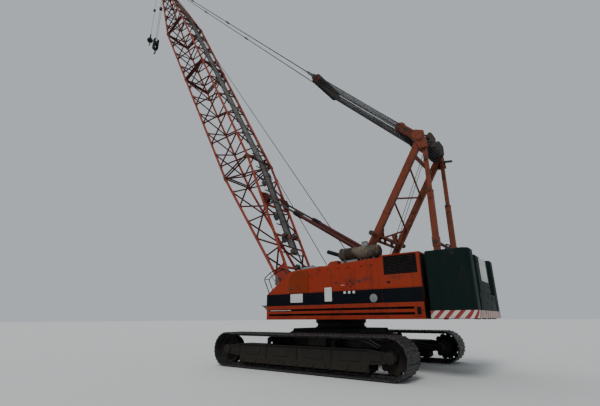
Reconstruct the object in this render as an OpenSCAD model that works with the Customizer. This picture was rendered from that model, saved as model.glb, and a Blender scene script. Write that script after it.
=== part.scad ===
// Crawler crane with a lattice boom, in millimetres.
// X points forward, Y to the left and Z up.
// The origin is on the swing axis, at ground level.

/* [Tracks] */
// Distance between the wheel centres of one track
wheel_base = 6080; // [5400:10:6800]
// Distance between the centre lines of the two tracks
track_gauge = 5000; // [4700:10:5600]
// Width of a track shoe
shoe_width = 900; // [760:10:1000]
// Outer radius of the track at a wheel, out to the lug tips
track_radius = 560; // [500:5:620]
// Height of the lugs on the shoes
lug_height = 28; // [16:2:40]
// Thickness of shoe and chain link together, without the lugs
belt_thickness = 96; // [70:2:120]
// Shoes on one track
shoe_count = 58; // [46:2:64]
// Width of the frame between the wheels
track_frame_width = 600; // [520:10:680]
// Thickness of a frame cheek plate
cheek_thickness = 60; // [40:5:80]
// Height of the frame box
track_frame_height = 380; // [300:10:440]
// Lower rollers under one track frame
roller_count = 9; // [6:1:10]
// Radius of a lower roller
roller_radius = 115; // [90:5:125]
// Radius of a carrier roller
carrier_radius = 85; // [60:5:100]
// Radius of the travel drive housing
drive_radius = 290; // [200:10:320]
// Teeth on a sprocket
sprocket_teeth = 12; // [9:1:16]

/* [Carbody] */
// Length of the centre box
carbody_length = 2700; // [2400:10:3200]
// Width of the centre box
carbody_width = 2300; // [2100:10:2600]
// Height of the underside of the centre box
carbody_bottom = 520; // [440:10:600]
// Height of the top of the centre box
carbody_top = 1230; // [1150:10:1260]
// Length along X of a cross beam
cross_beam_length = 640; // [400:10:800]
// Height of a cross beam
cross_beam_height = 460; // [300:10:520]
// Radius of the swing ring
ring_radius = 930; // [800:10:1100]
// Clearance between pieces that turn on each other
running_gap = 0.3; // [0.1:0.1:1]

/* [Upper body] */
// Height of the underside of the upper frame
deck_bottom = 1530; // [1480:5:1600]
// Height of the top of the upper frame
deck_top = 2010; // [1900:5:2100]
// Half of the body's width
body_half = 1600; // [1600:10:1750]
// Front end of the upper frame
body_front = 2300; // [2100:10:2500]
// Rear end of the side panels
body_rear = -3700; // [-3900:10:-3500]
// Height of the dark stripe's upper edge
stripe_top = 2430; // [2350:5:2500]
// Height of the house roof behind the sloped front
roof_front = 3240; // [3100:10:3300]
// Height of the house roof at its rear end
roof_rear = 3410; // [3320:10:3500]
// Where the sloped front of the left house reaches the roof
slope_end = 1170; // [900:10:1500]
// Width of the bay between the two side houses
bay_width = 2380; // [2260:10:2440]
// Thickness of the sheet walls
wall = 60; // [40:5:90]
// Front end of the engine hood
hood_front = -2440; // [-2600:10:-2300]
// Height of the engine hood
hood_top = 3470; // [3420:10:3600]
// Depth of the recesses for the grilles
grille_depth = 30; // [15:1:45]
// Height of the long grooves in the side rails
groove_height = 70; // [40:5:90]
// Depth of the long grooves in the side rails
groove_depth = 60; // [30:5:90]
// Radius of the muffler
muffler_radius = 215; // [160:5:235]
// Rear end of the muffler
muffler_rear = -2400; // [-2430:10:-1900]
// Length of the muffler
muffler_length = 1500; // [1200:10:1800]
// Length of the exhaust pipe in front of the muffler
pipe_length = 620; // [400:10:700]
// How far the exhaust pipe leans up
pipe_rise = 20; // [0:1:30]

/* [Counterweight] */
// Rear end of the counterweight
weight_rear = -5120; // [-5300:10:-5000]
// Front face of the side blocks
weight_front = -3930; // [-4000:10:-3850]
// Half of the counterweight's width
weight_half = 1880; // [1750:10:2100]
// Height of its underside
weight_bottom = 1560; // [1540:5:1640]
// Height of the side blocks
weight_top = 3400; // [3300:10:3500]
// Height of the middle block
weight_middle_top = 3330; // [3250:10:3400]
// Height of the lower slab between the side blocks
weight_slab_top = 2240; // [2100:10:2400]
// Half of the lower slab's width
weight_middle_half = 1180; // [1100:10:1240]
// Width of the slots beside the middle block
weight_slot = 340; // [250:10:400]
// Front face of the middle block
weight_middle_front = -4420; // [-4500:10:-4350]
// Size of the chamfer on the vertical edges
weight_chamfer = 150; // [80:10:200]
// Hole in a lifting lug
lug_bore = 90; // [60:5:110]
// Outer radius of a lifting lug
lug_radius = 80; // [70:5:110]
// Width of the sign plate
sign_width = 990; // [600:10:1050]
// Height of the sign plate
sign_height = 710; // [500:10:860]

/* [Cab] */
// Width of the cab
cab_width = 820; // [780:10:825]
// How far the cab stands out over the body's side
cab_overhang = 220; // [200:10:400]
// Rear wall of the cab
cab_rear = -300; // [-500:10:100]
// Front of the cab at its floor
cab_front = 2420; // [2300:10:2600]
// Height of the cab roof
cab_top = 3760; // [3650:10:3850]
// Thickness of the cab walls
cab_wall = 50; // [35:5:70]
// Width of the cab door
door_width = 820; // [700:10:900]
// Rear edge of the cab door
door_rear = 900; // [750:10:1000]
// Lower edge of the door's window
door_window_z = 2620; // [2500:10:2800]
// Lower edge of the rear window
rear_window_z = 3450; // [3200:10:3500]
// Height of the rear window
rear_window_height = 150; // [100:10:160]
// Clearance round the cab door
door_gap = 8; // [6:1:14]
// Radius of a door hinge's knuckle
hinge_radius = 20; // [14:1:26]

/* [Gantry] */
// Half of the distance between the gantry legs
gantry_half = 1050; // [980:10:1090]
// Place of the front legs' foot along X
gantry_foot_x = -1200; // [-1400:10:-1100]
// Height of the front legs' foot
gantry_foot_z = 2700; // [2600:10:2800]
// Place of the gantry head along X
gantry_head_x = -4000; // [-4100:10:-3900]
// Height of the gantry head
gantry_head_z = 7400; // [7000:10:7800]
// Depth of a front leg
leg_depth = 230; // [180:10:280]
// Width of a leg
leg_width = 150; // [120:5:160]
// Height of the step in the rear posts
post_step_z = 5500; // [4800:10:5900]
// Height of the tube between the rear posts
post_bar_z = 3800; // [3700:10:4200]
// Radius of the pin holes in the rear posts
post_hole_radius = 30; // [20:1:35]
// Radius of the luffing sheaves
luffing_sheave_radius = 260; // [200:10:320]
// Distance from the head pin to the shaft of the bail
bail_length = 1050; // [950:10:1300]
// Half of the distance between the bail's plates
bail_half = 930; // [900:5:940]
// Depth of the bail's plates
bail_depth = 290; // [220:10:320]
// Radius of the bail's sheaves
bail_sheave_radius = 200; // [160:10:240]
// Radius of a brace between the front legs
brace_radius = 34; // [25:1:45]

/* [Boom] */
// Angle of the boom above the ground
boom_angle = 61; // [40:1:75]
// Place of the boom foot pin along X
foot_x = 1500; // [1400:10:1700]
// Height of the boom foot pin
foot_z = 2140; // [2120:5:2250]
// Radius of the boom foot pin
foot_pin_radius = 55; // [40:1:65]
// Depth and width of the boom between its chord centres
boom_size = 1760; // [1600:10:1770]
// Depth of the boom at its foot
foot_depth = 340; // [300:10:420]
// How far the side plates reach up from the boom foot
foot_web = 1750; // [1200:10:2000]
// Length of the foot section
base_length = 7620; // [7000:10:9140]
// Length of the long insert
insert_long = 9140; // [7620:10:12190]
// Length of the short insert
insert_short = 6100; // [3050:10:7620]
// Length of the top section
top_length = 7620; // [7000:10:9140]
// Radius of a chord tube
chord_radius = 62; // [50:2:75]
// Width of a lacing bar
lacing_width = 64; // [45:1:80]
// Width of the boom head
head_width = 760; // [600:10:900]
// Depth of the boom head
head_depth = 520; // [460:10:700]
// Radius of the head sheaves
head_sheave_radius = 350; // [280:10:400]
// Radius of the small sheave for the ball's rope
aux_sheave_radius = 250; // [200:10:280]
// Width of the walkway
walkway_width = 520; // [400:10:600]
// Length of the walkway on the top section
walkway_upper = 4200; // [3000:10:5000]
// Radius of a pendant rod
pendant_radius = 24; // [18:1:30]
// Place of the equaliser along X
equaliser_x = 300; // [100:10:500]
// Height of the equaliser
equaliser_z = 11900; // [11700:10:12100]
// Half of the equaliser's length
equaliser_half = 1050; // [1000:10:1200]
// Radius of the equaliser's sheaves
equaliser_sheave_radius = 230; // [160:10:260]

/* [Hooks] */
// Height of the main hook block's axle
block_z = 23300; // [22500:50:24500]
// Width of the hook block
block_width = 420; // [360:10:500]
// Height of the hook block above its axle
block_above = 520; // [420:10:600]
// Height of the hook block below its axle
block_below = 600; // [500:10:700]
// Distance between the hook block's cheeks
block_gap = 300; // [240:10:340]
// Thickness of a cheek
block_cheek = 40; // [25:1:50]
// Radius of the sheaves in the hook block
block_sheave_radius = 190; // [150:10:200]
// Inner radius of the main hook
hook_bowl = 65; // [50:1:80]
// Thickness of the main hook
hook_section = 90; // [70:2:110]
// Height of the ball's centre
ball_z = 24250; // [23500:50:25000]
// Radius of the ball
ball_radius = 230; // [200:10:280]
// Length of the neck above the ball
ball_neck = 380; // [250:10:450]
// Inner radius of the small hook
ball_hook_bowl = 56; // [40:1:70]
// Thickness of the small hook
ball_hook_section = 68; // [50:2:80]
// Radius of a hoist rope
rope_radius = 13; // [10:1:16]

/* [Backstops] */
// Place of the backstops' cross bar, as a share of the front legs' length
stop_share = 0.2; // [0.17:0.01:0.25]
// Length of the lugs that hold the lower pins
stop_lug_length = 200; // [190:5:260]
// Radius of a lower pin
stop_pin_radius = 35; // [25:1:45]
// Half of the distance between the backstops
stop_half = 700; // [600:10:760]
// Distance of the upper pin from the boom foot
stop_reach = 5000; // [4600:10:5400]
// Radius of a backstop barrel
stop_barrel_radius = 75; // [60:1:90]
// Radius of a backstop rod
stop_rod_radius = 45; // [36:1:52]
// Length of a backstop barrel
stop_barrel_length = 3900; // [3500:10:4000]
// Half of the width of a backstop's eyes
stop_eye_half = 50; // [40:1:60]

/* [Hidden] */
$fn = 48;
track_y = track_gauge / 2;
wheel_x = wheel_base / 2;
wheel_z = track_radius;
belt_inner = track_radius - lug_height - belt_thickness;
wheel_radius = belt_inner - running_gap;
inner_run_z = wheel_z - belt_inner;
cheek_gap = track_frame_width - 2 * cheek_thickness;
frame_bottom_z = inner_run_z + 2 * roller_radius + 20;
frame_top_z = frame_bottom_z + track_frame_height;
box_end = wheel_x - belt_inner - 120;
carrier_half = 105;
boom_length = base_length + insert_long + insert_short + top_length;
boom_half = boom_size / 2;
bay_half = bay_width / 2;
cab_outer = -body_half - cab_overhang;
cab_inner = cab_outer + cab_width;
ring_top = deck_bottom - running_gap;

// Round bar from p to q
module bar(p, q, r, sides = 24) {
    v = q - p;
    translate(p) rotate([0, acos(v.z / norm(v)), atan2(v.y, v.x)])
        cylinder(h = norm(v), r = r, $fn = sides);
}

// Box beam between two points of the plane of X and Z, centred on y
module beam(a, b, y, width, depth) {
    v = b - a;
    translate([a.x, y, a.y]) rotate([0, -atan2(v.y, v.x), 0])
        translate([0, -width / 2, -depth / 2]) cube([norm(v), width, depth]);
}

// Cylinder along Y, centred on y
module pin(x, y, z, r, length) {
    translate([x, y + length / 2, z]) rotate([90, 0, 0]) cylinder(h = length, r = r);
}

// Outline in the plane of X and Z, given thickness from y0 to y1
module side_plate(points, y0, y1) {
    translate([0, y1, 0]) rotate([90, 0, 0]) linear_extrude(y1 - y0) polygon(points);
}

module block(x0, x1, y0, y1, z0, z1) {
    translate([x0, y0, z0]) cube([x1 - x0, y1 - y0, z1 - z0]);
}

// Point at distance t along a track's path of radius r, starting on the ground under the idler
function path_length(r) = 2 * wheel_base + 2 * PI * r;
function path_point(t, r) =
    t < wheel_base ? [wheel_x - t, wheel_z - r]
    : t < wheel_base + PI * r ?
        let (a = -90 - (t - wheel_base) / r * 180 / PI)
        [-wheel_x + r * cos(a), wheel_z + r * sin(a)]
    : t < 2 * wheel_base + PI * r ? [-wheel_x + t - wheel_base - PI * r, wheel_z + r]
    : let (a = 90 - (t - 2 * wheel_base - PI * r) / r * 180 / PI)
        [wheel_x + r * cos(a), wheel_z + r * sin(a)];
function path_at(t, r, out) =
    let (p = path_point(t, r), q = path_point(t + 1, r), d = (q - p) / norm(q - p))
    p + out * [-d.y, d.x];

// Columns: place along one shoe as a share of its pitch, height above the shoe's plate
SHOE = [[0.02, 0], [0.10, 0], [0.16, 1], [0.40, 1], [0.60, 1], [0.84, 1], [0.90, 0], [0.98, 0]];
module track(side) {
    r = track_radius - lug_height;
    pitch = path_length(r) / shoe_count;
    outer = [for (i = [0:shoe_count - 1], s = SHOE)
        path_at((i + s[0]) * pitch, r, s[1] * lug_height)];
    translate([0, side * track_y + shoe_width / 2, 0]) rotate([90, 0, 0])
        linear_extrude(shoe_width) difference() {
            polygon(outer);
            for (x = [-wheel_x, wheel_x]) translate([x, wheel_z]) circle(r = belt_inner);
            translate([-wheel_x, wheel_z - belt_inner]) square([wheel_base, 2 * belt_inner]);
        }
}

module track_frame(side) {
    y = side * track_y;
    half = track_frame_width / 2;
    reach = wheel_x + 120;
    cheek_y = [for (s = [-1, 1]) y + s * (half - cheek_thickness / 2)];
    block(-box_end, box_end, y - half, y + half, frame_bottom_z, frame_top_z);
    for (c = cheek_y) {
        side_plate([[-reach, wheel_z - 110], [-box_end, frame_bottom_z],
            [box_end, frame_bottom_z], [reach, wheel_z - 110],
            [reach, wheel_z + 110], [box_end, frame_top_z],
            [-box_end, frame_top_z], [-reach, wheel_z + 110]],
            c - cheek_thickness / 2, c + cheek_thickness / 2);
        block(-box_end + 60, box_end - 60, c - cheek_thickness / 2, c + cheek_thickness / 2,
            inner_run_z + roller_radius - 60, frame_bottom_z);
    }
    // Brackets of the carrier rollers
    for (x = [-1, 1], s = [-1, 1])
        block(x * box_end / 2 - 60, x * box_end / 2 + 60,
            y + s * (carrier_half + 25) - 25, y + s * (carrier_half + 25) + 25,
            frame_top_z, wheel_z + belt_inner - running_gap - carrier_radius + 40);
}

module sprocket(side) {
    y = side * track_y;
    pin(-wheel_x, y, wheel_z, 170, cheek_gap);
    translate([-wheel_x, y + 90, wheel_z]) rotate([90, 0, 0]) linear_extrude(180) difference() {
        circle(r = wheel_radius);
        for (i = [0:sprocket_teeth - 1])
            rotate(360 / sprocket_teeth * i) translate([wheel_radius + 10, 0]) circle(r = 62);
    }
}

module idler(side) {
    y = side * track_y;
    pin(wheel_x, y, wheel_z, 150, cheek_gap);
    difference() {
        pin(wheel_x, y, wheel_z, wheel_radius, 260);
        for (s = [-1, 1]) difference() {
            pin(wheel_x, y + s * 130, wheel_z, wheel_radius - 80, 120);
            pin(wheel_x, y + s * 130, wheel_z, 190, 140);
        }
    }
}

module rollers(side) {
    y = side * track_y;
    span = 2 * (box_end - roller_radius) - 140;
    for (i = [0:roller_count - 1])
        pin(-span / 2 + i * span / (roller_count - 1), y,
            inner_run_z + roller_radius + running_gap, roller_radius, cheek_gap);
    for (x = [-1, 1])
        pin(x * box_end / 2, y, wheel_z + belt_inner - running_gap - carrier_radius,
            carrier_radius, 2 * carrier_half);
}

module travel_drive(side) {
    y = side * (track_y - track_frame_width / 2);
    pin(-wheel_x, y - side * 60, wheel_z, drive_radius, 120);
    pin(-wheel_x, y - side * 210, wheel_z, drive_radius - 60, 180);
}

module carbody() {
    beam_y = track_y - track_frame_width / 2;
    block(-carbody_length / 2, carbody_length / 2, -carbody_width / 2, carbody_width / 2,
        carbody_bottom, carbody_top);
    for (s = [-1, 1])
        block(s * (carbody_length - cross_beam_length) / 2 - cross_beam_length / 2,
            s * (carbody_length - cross_beam_length) / 2 + cross_beam_length / 2,
            -beam_y, beam_y, carbody_bottom, carbody_bottom + cross_beam_height);
}

module swing_ring() {
    difference() {
        union() {
            translate([0, 0, carbody_top])
                cylinder(h = ring_top - carbody_top - 110, r = ring_radius - 70, $fn = 96);
            translate([0, 0, ring_top - 110]) cylinder(h = 110, r = ring_radius, $fn = 96);
        }
        translate([0, 0, carbody_top - 1])
            cylinder(h = ring_top - carbody_top + 2, r = ring_radius - 230, $fn = 96);
    }
}

// Half of the upper frame's width, between the side rails
deck_half = body_half - 240;
// Half of the width of a boom foot plate, and the lugs beside it
foot_plate_half = 60;
foot_lug = 30;
lug_clearance = 6;
module foot_lug(y) {
    side_plate([[foot_x - 330, deck_top], [foot_x + 330, deck_top],
        [foot_x + 120, foot_z + 110], [foot_x - 120, foot_z + 110]],
        y - foot_lug / 2, y + foot_lug / 2);
}
module deck_frame() {
    lug_offset = foot_plate_half + lug_clearance + foot_lug / 2;
    block(body_rear, body_front, -deck_half, deck_half, deck_bottom, deck_top);
    block(weight_middle_front, body_rear, -weight_middle_half, weight_middle_half,
        deck_bottom, deck_top);
    for (s = [-1, 1]) {
        foot_lug(s * boom_half - lug_offset);
        foot_lug(s * boom_half + lug_offset);
        pin(foot_x, s * boom_half, foot_z, foot_pin_radius, 2 * lug_offset + foot_lug);
        for (o = [-1, 1])
            side_plate([[gantry_foot_x - 260, deck_top], [gantry_foot_x + 260, deck_top],
                [gantry_foot_x + 110, gantry_foot_z + 130],
                [gantry_foot_x - 110, gantry_foot_z + 130]],
                s * gantry_half + o * (leg_width / 2 + 15) - 15,
                s * gantry_half + o * (leg_width / 2 + 15) + 15);
    }
}

module side_rail(side) {
    y0 = side > 0 ? deck_half : -body_half;
    y1 = side > 0 ? body_half : -deck_half;
    face = side * body_half;
    difference() {
        block(body_rear, body_front, y0, y1, deck_bottom, deck_top);
        for (z = [1, 2])
            block(body_rear + 300, body_front - 120,
                min(face, face - side * groove_depth), max(face, face - side * groove_depth),
                deck_bottom + z * (deck_top - deck_bottom) / 3 - groove_height / 2,
                deck_bottom + z * (deck_top - deck_bottom) / 3 + groove_height / 2);
    }
}

// Side house: a hollow body, closed at both ends
module side_house(side, x_front, x_rear, slope) {
    y0 = side > 0 ? bay_half : -body_half;
    y1 = side > 0 ? body_half : -bay_half;
    difference() {
        side_plate([[x_rear, deck_top], [x_front, deck_top], [x_front, stripe_top],
            [slope, roof_front], [x_rear, roof_rear]], y0, y1);
        side_plate([[x_rear + wall, deck_top - 1], [x_front - wall, deck_top - 1],
            [x_front - wall, stripe_top - wall / 3], [slope - wall / 3, roof_front - wall],
            [x_rear + wall, roof_rear - wall]], y0 + wall, y1 - wall);
    }
}

module house_left() {
    side_house(1, body_front, hood_front, slope_end);
}

module house_right() {
    side_house(-1, cab_rear, hood_front, cab_rear - 60);
}

// Recesses for the grilles: left one high up, right one as tall as a door
hood_edge = 100;
grille_left_z = stripe_top + 420;
grille_right_z = hood_top - 320;
module engine_hood() {
    difference() {
        block(body_rear, hood_front, -body_half, body_half, deck_top, hood_top);
        block(body_rear + wall, hood_front - wall, -body_half + wall, body_half - wall,
            deck_top - 1, hood_top - wall);
        block(body_rear + hood_edge, hood_front - hood_edge, body_half - grille_depth, body_half + 10,
            grille_left_z, hood_top - hood_edge / 2);
        block(body_rear + hood_edge, hood_front - hood_edge, -body_half - 10,
            -body_half + grille_depth, deck_top + 40, grille_right_z);
    }
}

module engine_block() {
    block(body_rear + 220, hood_front - 220, -900, 900, deck_top, 2950);
}

// Block with chamfered vertical edges
module chamfered(x0, x1, y0, y1, z0, z1, c) {
    translate([0, 0, z0]) linear_extrude(z1 - z0)
        polygon([[x0 + c, y0], [x1, y0], [x1, y1], [x0 + c, y1], [x0, y1 - c], [x0, y0 + c]]);
}

// Height of a lug's hole above its block, and the lug's thickness
lug_rise = 110;
lug_thickness = 60;
module lifting_lug(x, y, z, turn = 0) {
    translate([x, y, z]) rotate([0, 0, turn]) difference() {
        union() {
            pin(0, 0, lug_rise, lug_radius, lug_thickness);
            block(-lug_radius, lug_radius, -lug_thickness / 2, lug_thickness / 2, 0, lug_rise);
        }
        pin(0, 0, lug_rise, lug_bore / 2, lug_thickness + 20);
    }
}

module counterweight_side(side) {
    y0 = side > 0 ? weight_middle_half : -weight_half;
    y1 = side > 0 ? weight_half : -weight_middle_half;
    chamfered(weight_rear, weight_front, y0, y1, weight_bottom, weight_top, weight_chamfer);
    lifting_lug((weight_rear + weight_front) / 2, side * (weight_half - 330), weight_top);
}

// Lower slab level with the side blocks, and the block that stands on it between two slots
weight_recess = 40;
module counterweight_middle() {
    half = weight_middle_half - weight_slot;
    block(weight_rear, weight_middle_front, -weight_middle_half, weight_middle_half,
        weight_bottom, weight_slab_top);
    chamfered(weight_rear + weight_recess, weight_middle_front, -half, half,
        weight_slab_top, weight_middle_top, 50);
    for (s = [-1, 1])
        lifting_lug(weight_rear + 350, s * 480, weight_middle_top, 90);
}

module sign_plate() {
    y = -90;
    top = weight_middle_top - 20;
    block(weight_rear + weight_recess - 8, weight_rear + weight_recess,
        y - sign_width / 2, y + sign_width / 2, top - sign_height, top);
}

function roof_z(x) = x < hood_front ? hood_top
    : roof_rear + (roof_front - roof_rear) * (x - hood_front) / (slope_end - hood_front);
module muffler() {
    y = body_half - muffler_radius;
    z = roof_rear + 40 + muffler_radius;
    translate([muffler_rear, y, z]) rotate([0, 90, 0])
        cylinder(h = muffler_length, r = muffler_radius);
    translate([muffler_rear + muffler_length - 60, y, z - muffler_radius / 6])
        rotate([0, 90 - pipe_rise, 0])
            cylinder(h = pipe_length, r = muffler_radius / 3);
    for (x = [muffler_rear + 220, muffler_rear + muffler_length - 220])
        side_plate([[x - 60, roof_z(x - 60) + running_gap], [x + 60, roof_z(x + 60) + running_gap],
            [x + 60, z - muffler_radius / 2], [x - 60, z - muffler_radius / 2]], y - 110, y + 110);
}

module winch_drums() {
    for (x = [-1900, -350]) {
        pin(x, 0, deck_top + 420, 300, 1300);
        for (s = [-1, 1]) pin(x, s * 680, deck_top + 420, 400, 60);
        for (s = [-1, 1]) block(x - 260, x + 260, s * 760 - 30, s * 760 + 30, deck_top, deck_top + 520);
        for (s = [-1, 1]) pin(x, s * 720, deck_top + 420, 90, 60);
    }
}

CAB = [[cab_rear, deck_top], [cab_front - 160, deck_top], [cab_front, 2560],
    [cab_front - 120, 3420], [cab_front - 420, 3680], [cab_front - 700, cab_top],
    [cab_rear, cab_top - 90]];
function shrink(points, c, t) = [for (p = points) p + t * [sign(c.x - p.x), sign(c.y - p.y)]];
door_top = cab_top - 330;
door_bottom = deck_top + 90;
module cab_opening(x0, x1, z0, z1, y) {
    block(x0, x1, y - 2 * cab_wall, y + 2 * cab_wall, z0, z1);
}
module cab_shell() {
    difference() {
        side_plate(CAB, cab_outer, cab_inner);
        side_plate(shrink(CAB, [1000, 2800], cab_wall), cab_outer + cab_wall, cab_inner - cab_wall);
        cab_opening(door_rear - door_gap, door_rear + door_width + door_gap,
            door_bottom - door_gap, door_top + door_gap, cab_outer);
        cab_opening(cab_rear + 150, door_rear - 120, 3050, 3520, cab_outer);
        cab_opening(cab_rear + 200, cab_front - 700, 2900, 3500, cab_inner);
        block(cab_front - 420, cab_front + 50, cab_outer + 110, cab_inner - 110, 2600, 3380);
        block(cab_rear - 50, cab_rear + 2 * cab_wall, cab_outer + 160, cab_inner - 160,
            rear_window_z, rear_window_z + rear_window_height);
    }
    for (z = HINGES) {
        knuckle(z - 80, z - running_gap, -70);
        knuckle(z + 100 + running_gap, z + 180, -70);
    }
}

hinge_x = door_rear - door_gap / 2;
hinge_y = cab_outer - hinge_radius - 2;
// Knuckles of the door hinges, round the axis of the door
module knuckle(z0, z1, leaf) {
    translate([hinge_x, hinge_y, z0]) cylinder(h = z1 - z0, r = hinge_radius, $fn = 24);
    block(min(hinge_x, hinge_x + leaf), max(hinge_x, hinge_x + leaf), cab_outer - 12, cab_outer,
        z0, z1);
}
HINGES = [door_bottom + 220, door_top - 320];

module cab_door() {
    difference() {
        block(door_rear, door_rear + door_width, cab_outer, cab_outer + cab_wall,
            door_bottom, door_top);
        block(door_rear + 110, door_rear + door_width - 90, cab_outer - 1, cab_outer + cab_wall + 1,
            door_window_z, door_top - 90);
    }
    for (z = HINGES) knuckle(z, z + 100, 70);
}

module cab_seat() {
    y = (cab_inner + cab_outer) / 2;
    block(1100, 1560, y - 230, y + 230, deck_top + cab_wall, deck_top + 480);
    block(1000, 1110, y - 220, y + 220, deck_top + 420, deck_top + 1100);
    block(1960, 2040, y - 200, y + 200, deck_top + cab_wall, deck_top + 700);
}

leg_foot = [gantry_foot_x, gantry_foot_z];
leg_head = [gantry_head_x + 60, gantry_head_z - 120];
leg_vector = leg_head - leg_foot;
leg_across = [leg_vector.y, -leg_vector.x] / norm(leg_vector);
// Lower pins of the backstops, on lugs of the legs' lowest cross bar
stop_bar = leg_foot + stop_share * leg_vector;
stop_foot = stop_bar + stop_lug_length * leg_across;
// Shares of the legs' length where the braces meet the left and right leg in turn
BRACES = [0.84, 0.72, 0.60, 0.46, 0.30];
function brace_end(i) =
    let (p = leg_foot + BRACES[i] * leg_vector)
    [p.x, (i % 2 == 0 ? 1 : -1) * gantry_half, p.y];
module gantry_front_legs() {
    inside = 2 * gantry_half - leg_width + 20;
    for (s = [-1, 1]) beam(leg_foot, leg_head, s * gantry_half, leg_width, leg_depth);
    // Columns: share of the leg's length, radius of the cross bar
    for (c = [[stop_share, 80], [0.91, 70]])
        pin(leg_foot.x + c[0] * leg_vector.x, 0, leg_foot.y + c[0] * leg_vector.y, c[1], inside);
    for (i = [0:len(BRACES) - 2])
        bar(brace_end(i), brace_end(i + 1), brace_radius, 16);
    for (s = [-1, 1]) {
        for (o = [-1, 1])
            beam(stop_bar, stop_foot + 70 * leg_across,
                s * stop_half + o * (stop_eye_half + lug_clearance + 12), 24, 130);
        pin(stop_foot.x, s * stop_half, stop_foot.y, stop_pin_radius,
            2 * (stop_eye_half + lug_clearance + 24));
    }
}

module gantry_rear_posts() {
    for (s = [-1, 1]) {
        y = s * gantry_half;
        x = gantry_head_x - 100;
        difference() {
            union() {
                block(x - 90, x + 90, y - leg_width / 2, y + leg_width / 2, deck_top, post_step_z);
                block(x - 105, x + 105, y - leg_width / 2 - 15, y + leg_width / 2 + 15,
                    post_bar_z - 150, post_bar_z + 150);
                block(x - 70, x + 60, y - leg_width / 2 + 20, y + leg_width / 2 - 20,
                    post_step_z, gantry_head_z - 230);
                block(x - 80, x + 60, y - leg_width / 2, y + leg_width / 2,
                    gantry_head_z - 400, gantry_head_z - 230);
            }
            for (z = [post_step_z - 300, gantry_head_z - 500])
                pin(x, y, z, post_hole_radius, 2 * leg_width);
        }
    }
    pin(gantry_head_x - 100, 0, post_bar_z, 50, 2 * gantry_half - leg_width + 20);
}

head_pin_radius = 80;
bail_plate = 40;
module gantry_head() {
    for (s = [-1, 1])
        side_plate([[gantry_head_x - 220, gantry_head_z - 420], [gantry_head_x + 40, gantry_head_z - 420],
            [gantry_head_x + 260, gantry_head_z + 150], [gantry_head_x + 120, gantry_head_z + 320],
            [gantry_head_x - 160, gantry_head_z + 200]],
            s * (gantry_half + leg_width / 2 + 20) - 20, s * (gantry_half + leg_width / 2 + 20) + 20);
    pin(gantry_head_x, 0, gantry_head_z, head_pin_radius, 2 * gantry_half + leg_width);
}

// Pitch and width of the sheaves for the luffing ropes
sheave_pitch = 200;
sheave_width = 60;
module luffing_sheaves() {
    for (y = [-3.5:3.5]) difference() {
        pin(gantry_head_x, y * sheave_pitch, gantry_head_z, luffing_sheave_radius, sheave_width);
        pin(gantry_head_x, y * sheave_pitch, gantry_head_z, head_pin_radius + running_gap,
            sheave_width + 20);
    }
}

// Bail that swings on the head pin and points along the luffing ropes
bail_angle = atan2(equaliser_z - gantry_head_z, equaliser_x - gantry_head_x);
module luffing_bail() {
    translate([gantry_head_x, 0, gantry_head_z]) rotate([0, -bail_angle, 0]) {
        for (s = [-1, 1]) difference() {
            union() {
                pin(0, s * bail_half, 0, bail_depth / 2, bail_plate);
                pin(bail_length, s * bail_half, 0, bail_depth / 2, bail_plate);
                block(0, bail_length, s * bail_half - bail_plate / 2, s * bail_half + bail_plate / 2,
                    -bail_depth / 2, bail_depth / 2);
            }
            pin(0, s * bail_half, 0, head_pin_radius + running_gap, 2 * bail_plate);
        }
        pin(bail_length, 0, 0, 60, 2 * bail_half);
        block(bail_length / 2 - 60, bail_length / 2 + 60, -bail_half, bail_half, -50, 50);
        for (y = [-4:4]) pin(bail_length, y * sheave_pitch, 0, bail_sheave_radius, sheave_width);
    }
}

// Zigzag of bars between two edges, as a flat plate with three-cornered holes
function mid_shrink(t, w) =
    let (a = norm(t[1] - t[2]), b = norm(t[2] - t[0]), c = norm(t[0] - t[1]),
        centre = (a * t[0] + b * t[1] + c * t[2]) / (a + b + c),
        area = abs((t[1].x - t[0].x) * (t[2].y - t[0].y) - (t[2].x - t[0].x) * (t[1].y - t[0].y)) / 2,
        k = 1 - w / (2 * area / (a + b + c)))
    [for (p = t) centre + k * (p - centre)];
module lacing(length, half0, half1, bays) {
    half = function(x) half0 + (half1 - half0) * x / length;
    p = [for (k = [0:bays]) let (x = length * k / bays) [x, (k % 2 == 0 ? 1 : -1) * half(x)]];
    flip = function(q) [q.x, -q.y];
    holes = concat([[p[0], p[1], flip(p[0])]],
        [for (k = [1:bays - 1]) [p[k - 1], p[k], p[k + 1]]],
        [[p[bays - 1], p[bays], flip(p[bays])]]);
    linear_extrude(lacing_width, center = true) difference() {
        polygon([[0, -half0], [length, -half1], [length, half1], [0, half0]]);
        for (h = holes) polygon(mid_shrink(h, lacing_width / 2));
    }
}

// Lattice section from s = 0 to its length, in the boom's own axes:
// X along the boom, Z towards its upper face
module lattice(length, width0, width1, depth0, depth1, bays) {
    tilt = atan((depth1 - depth0) / 2 / length);
    yaw = atan((width1 - width0) / 2 / length);
    intersection() {
        block(0, length, -2 * boom_size, 2 * boom_size, -2 * boom_size, 2 * boom_size);
        union() {
            for (s = [-1, 1]) {
                translate([0, 0, s * depth0 / 2]) rotate([0, -s * tilt, 0])
                    lacing(length / cos(tilt), width0 / 2, width1 / 2, bays);
                translate([0, s * width0 / 2, 0]) rotate([0, 0, s * yaw]) rotate([90, 0, 0])
                    lacing(length / cos(yaw), depth0 / 2, depth1 / 2, bays);
                for (t = [-1, 1])
                    bar([0, s * width0 / 2, t * depth0 / 2],
                        [length, s * width1 / 2, t * depth1 / 2], chord_radius);
            }
        }
    }
}

// Square lugs that join a section to the next, at distance x on each chord
module joint_lugs(x0, x1, width, depth) {
    for (s = [-1, 1], t = [-1, 1])
        block(x0, x1, s * width / 2 - 80, s * width / 2 + 80, t * depth / 2 - 80, t * depth / 2 + 80);
}

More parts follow.
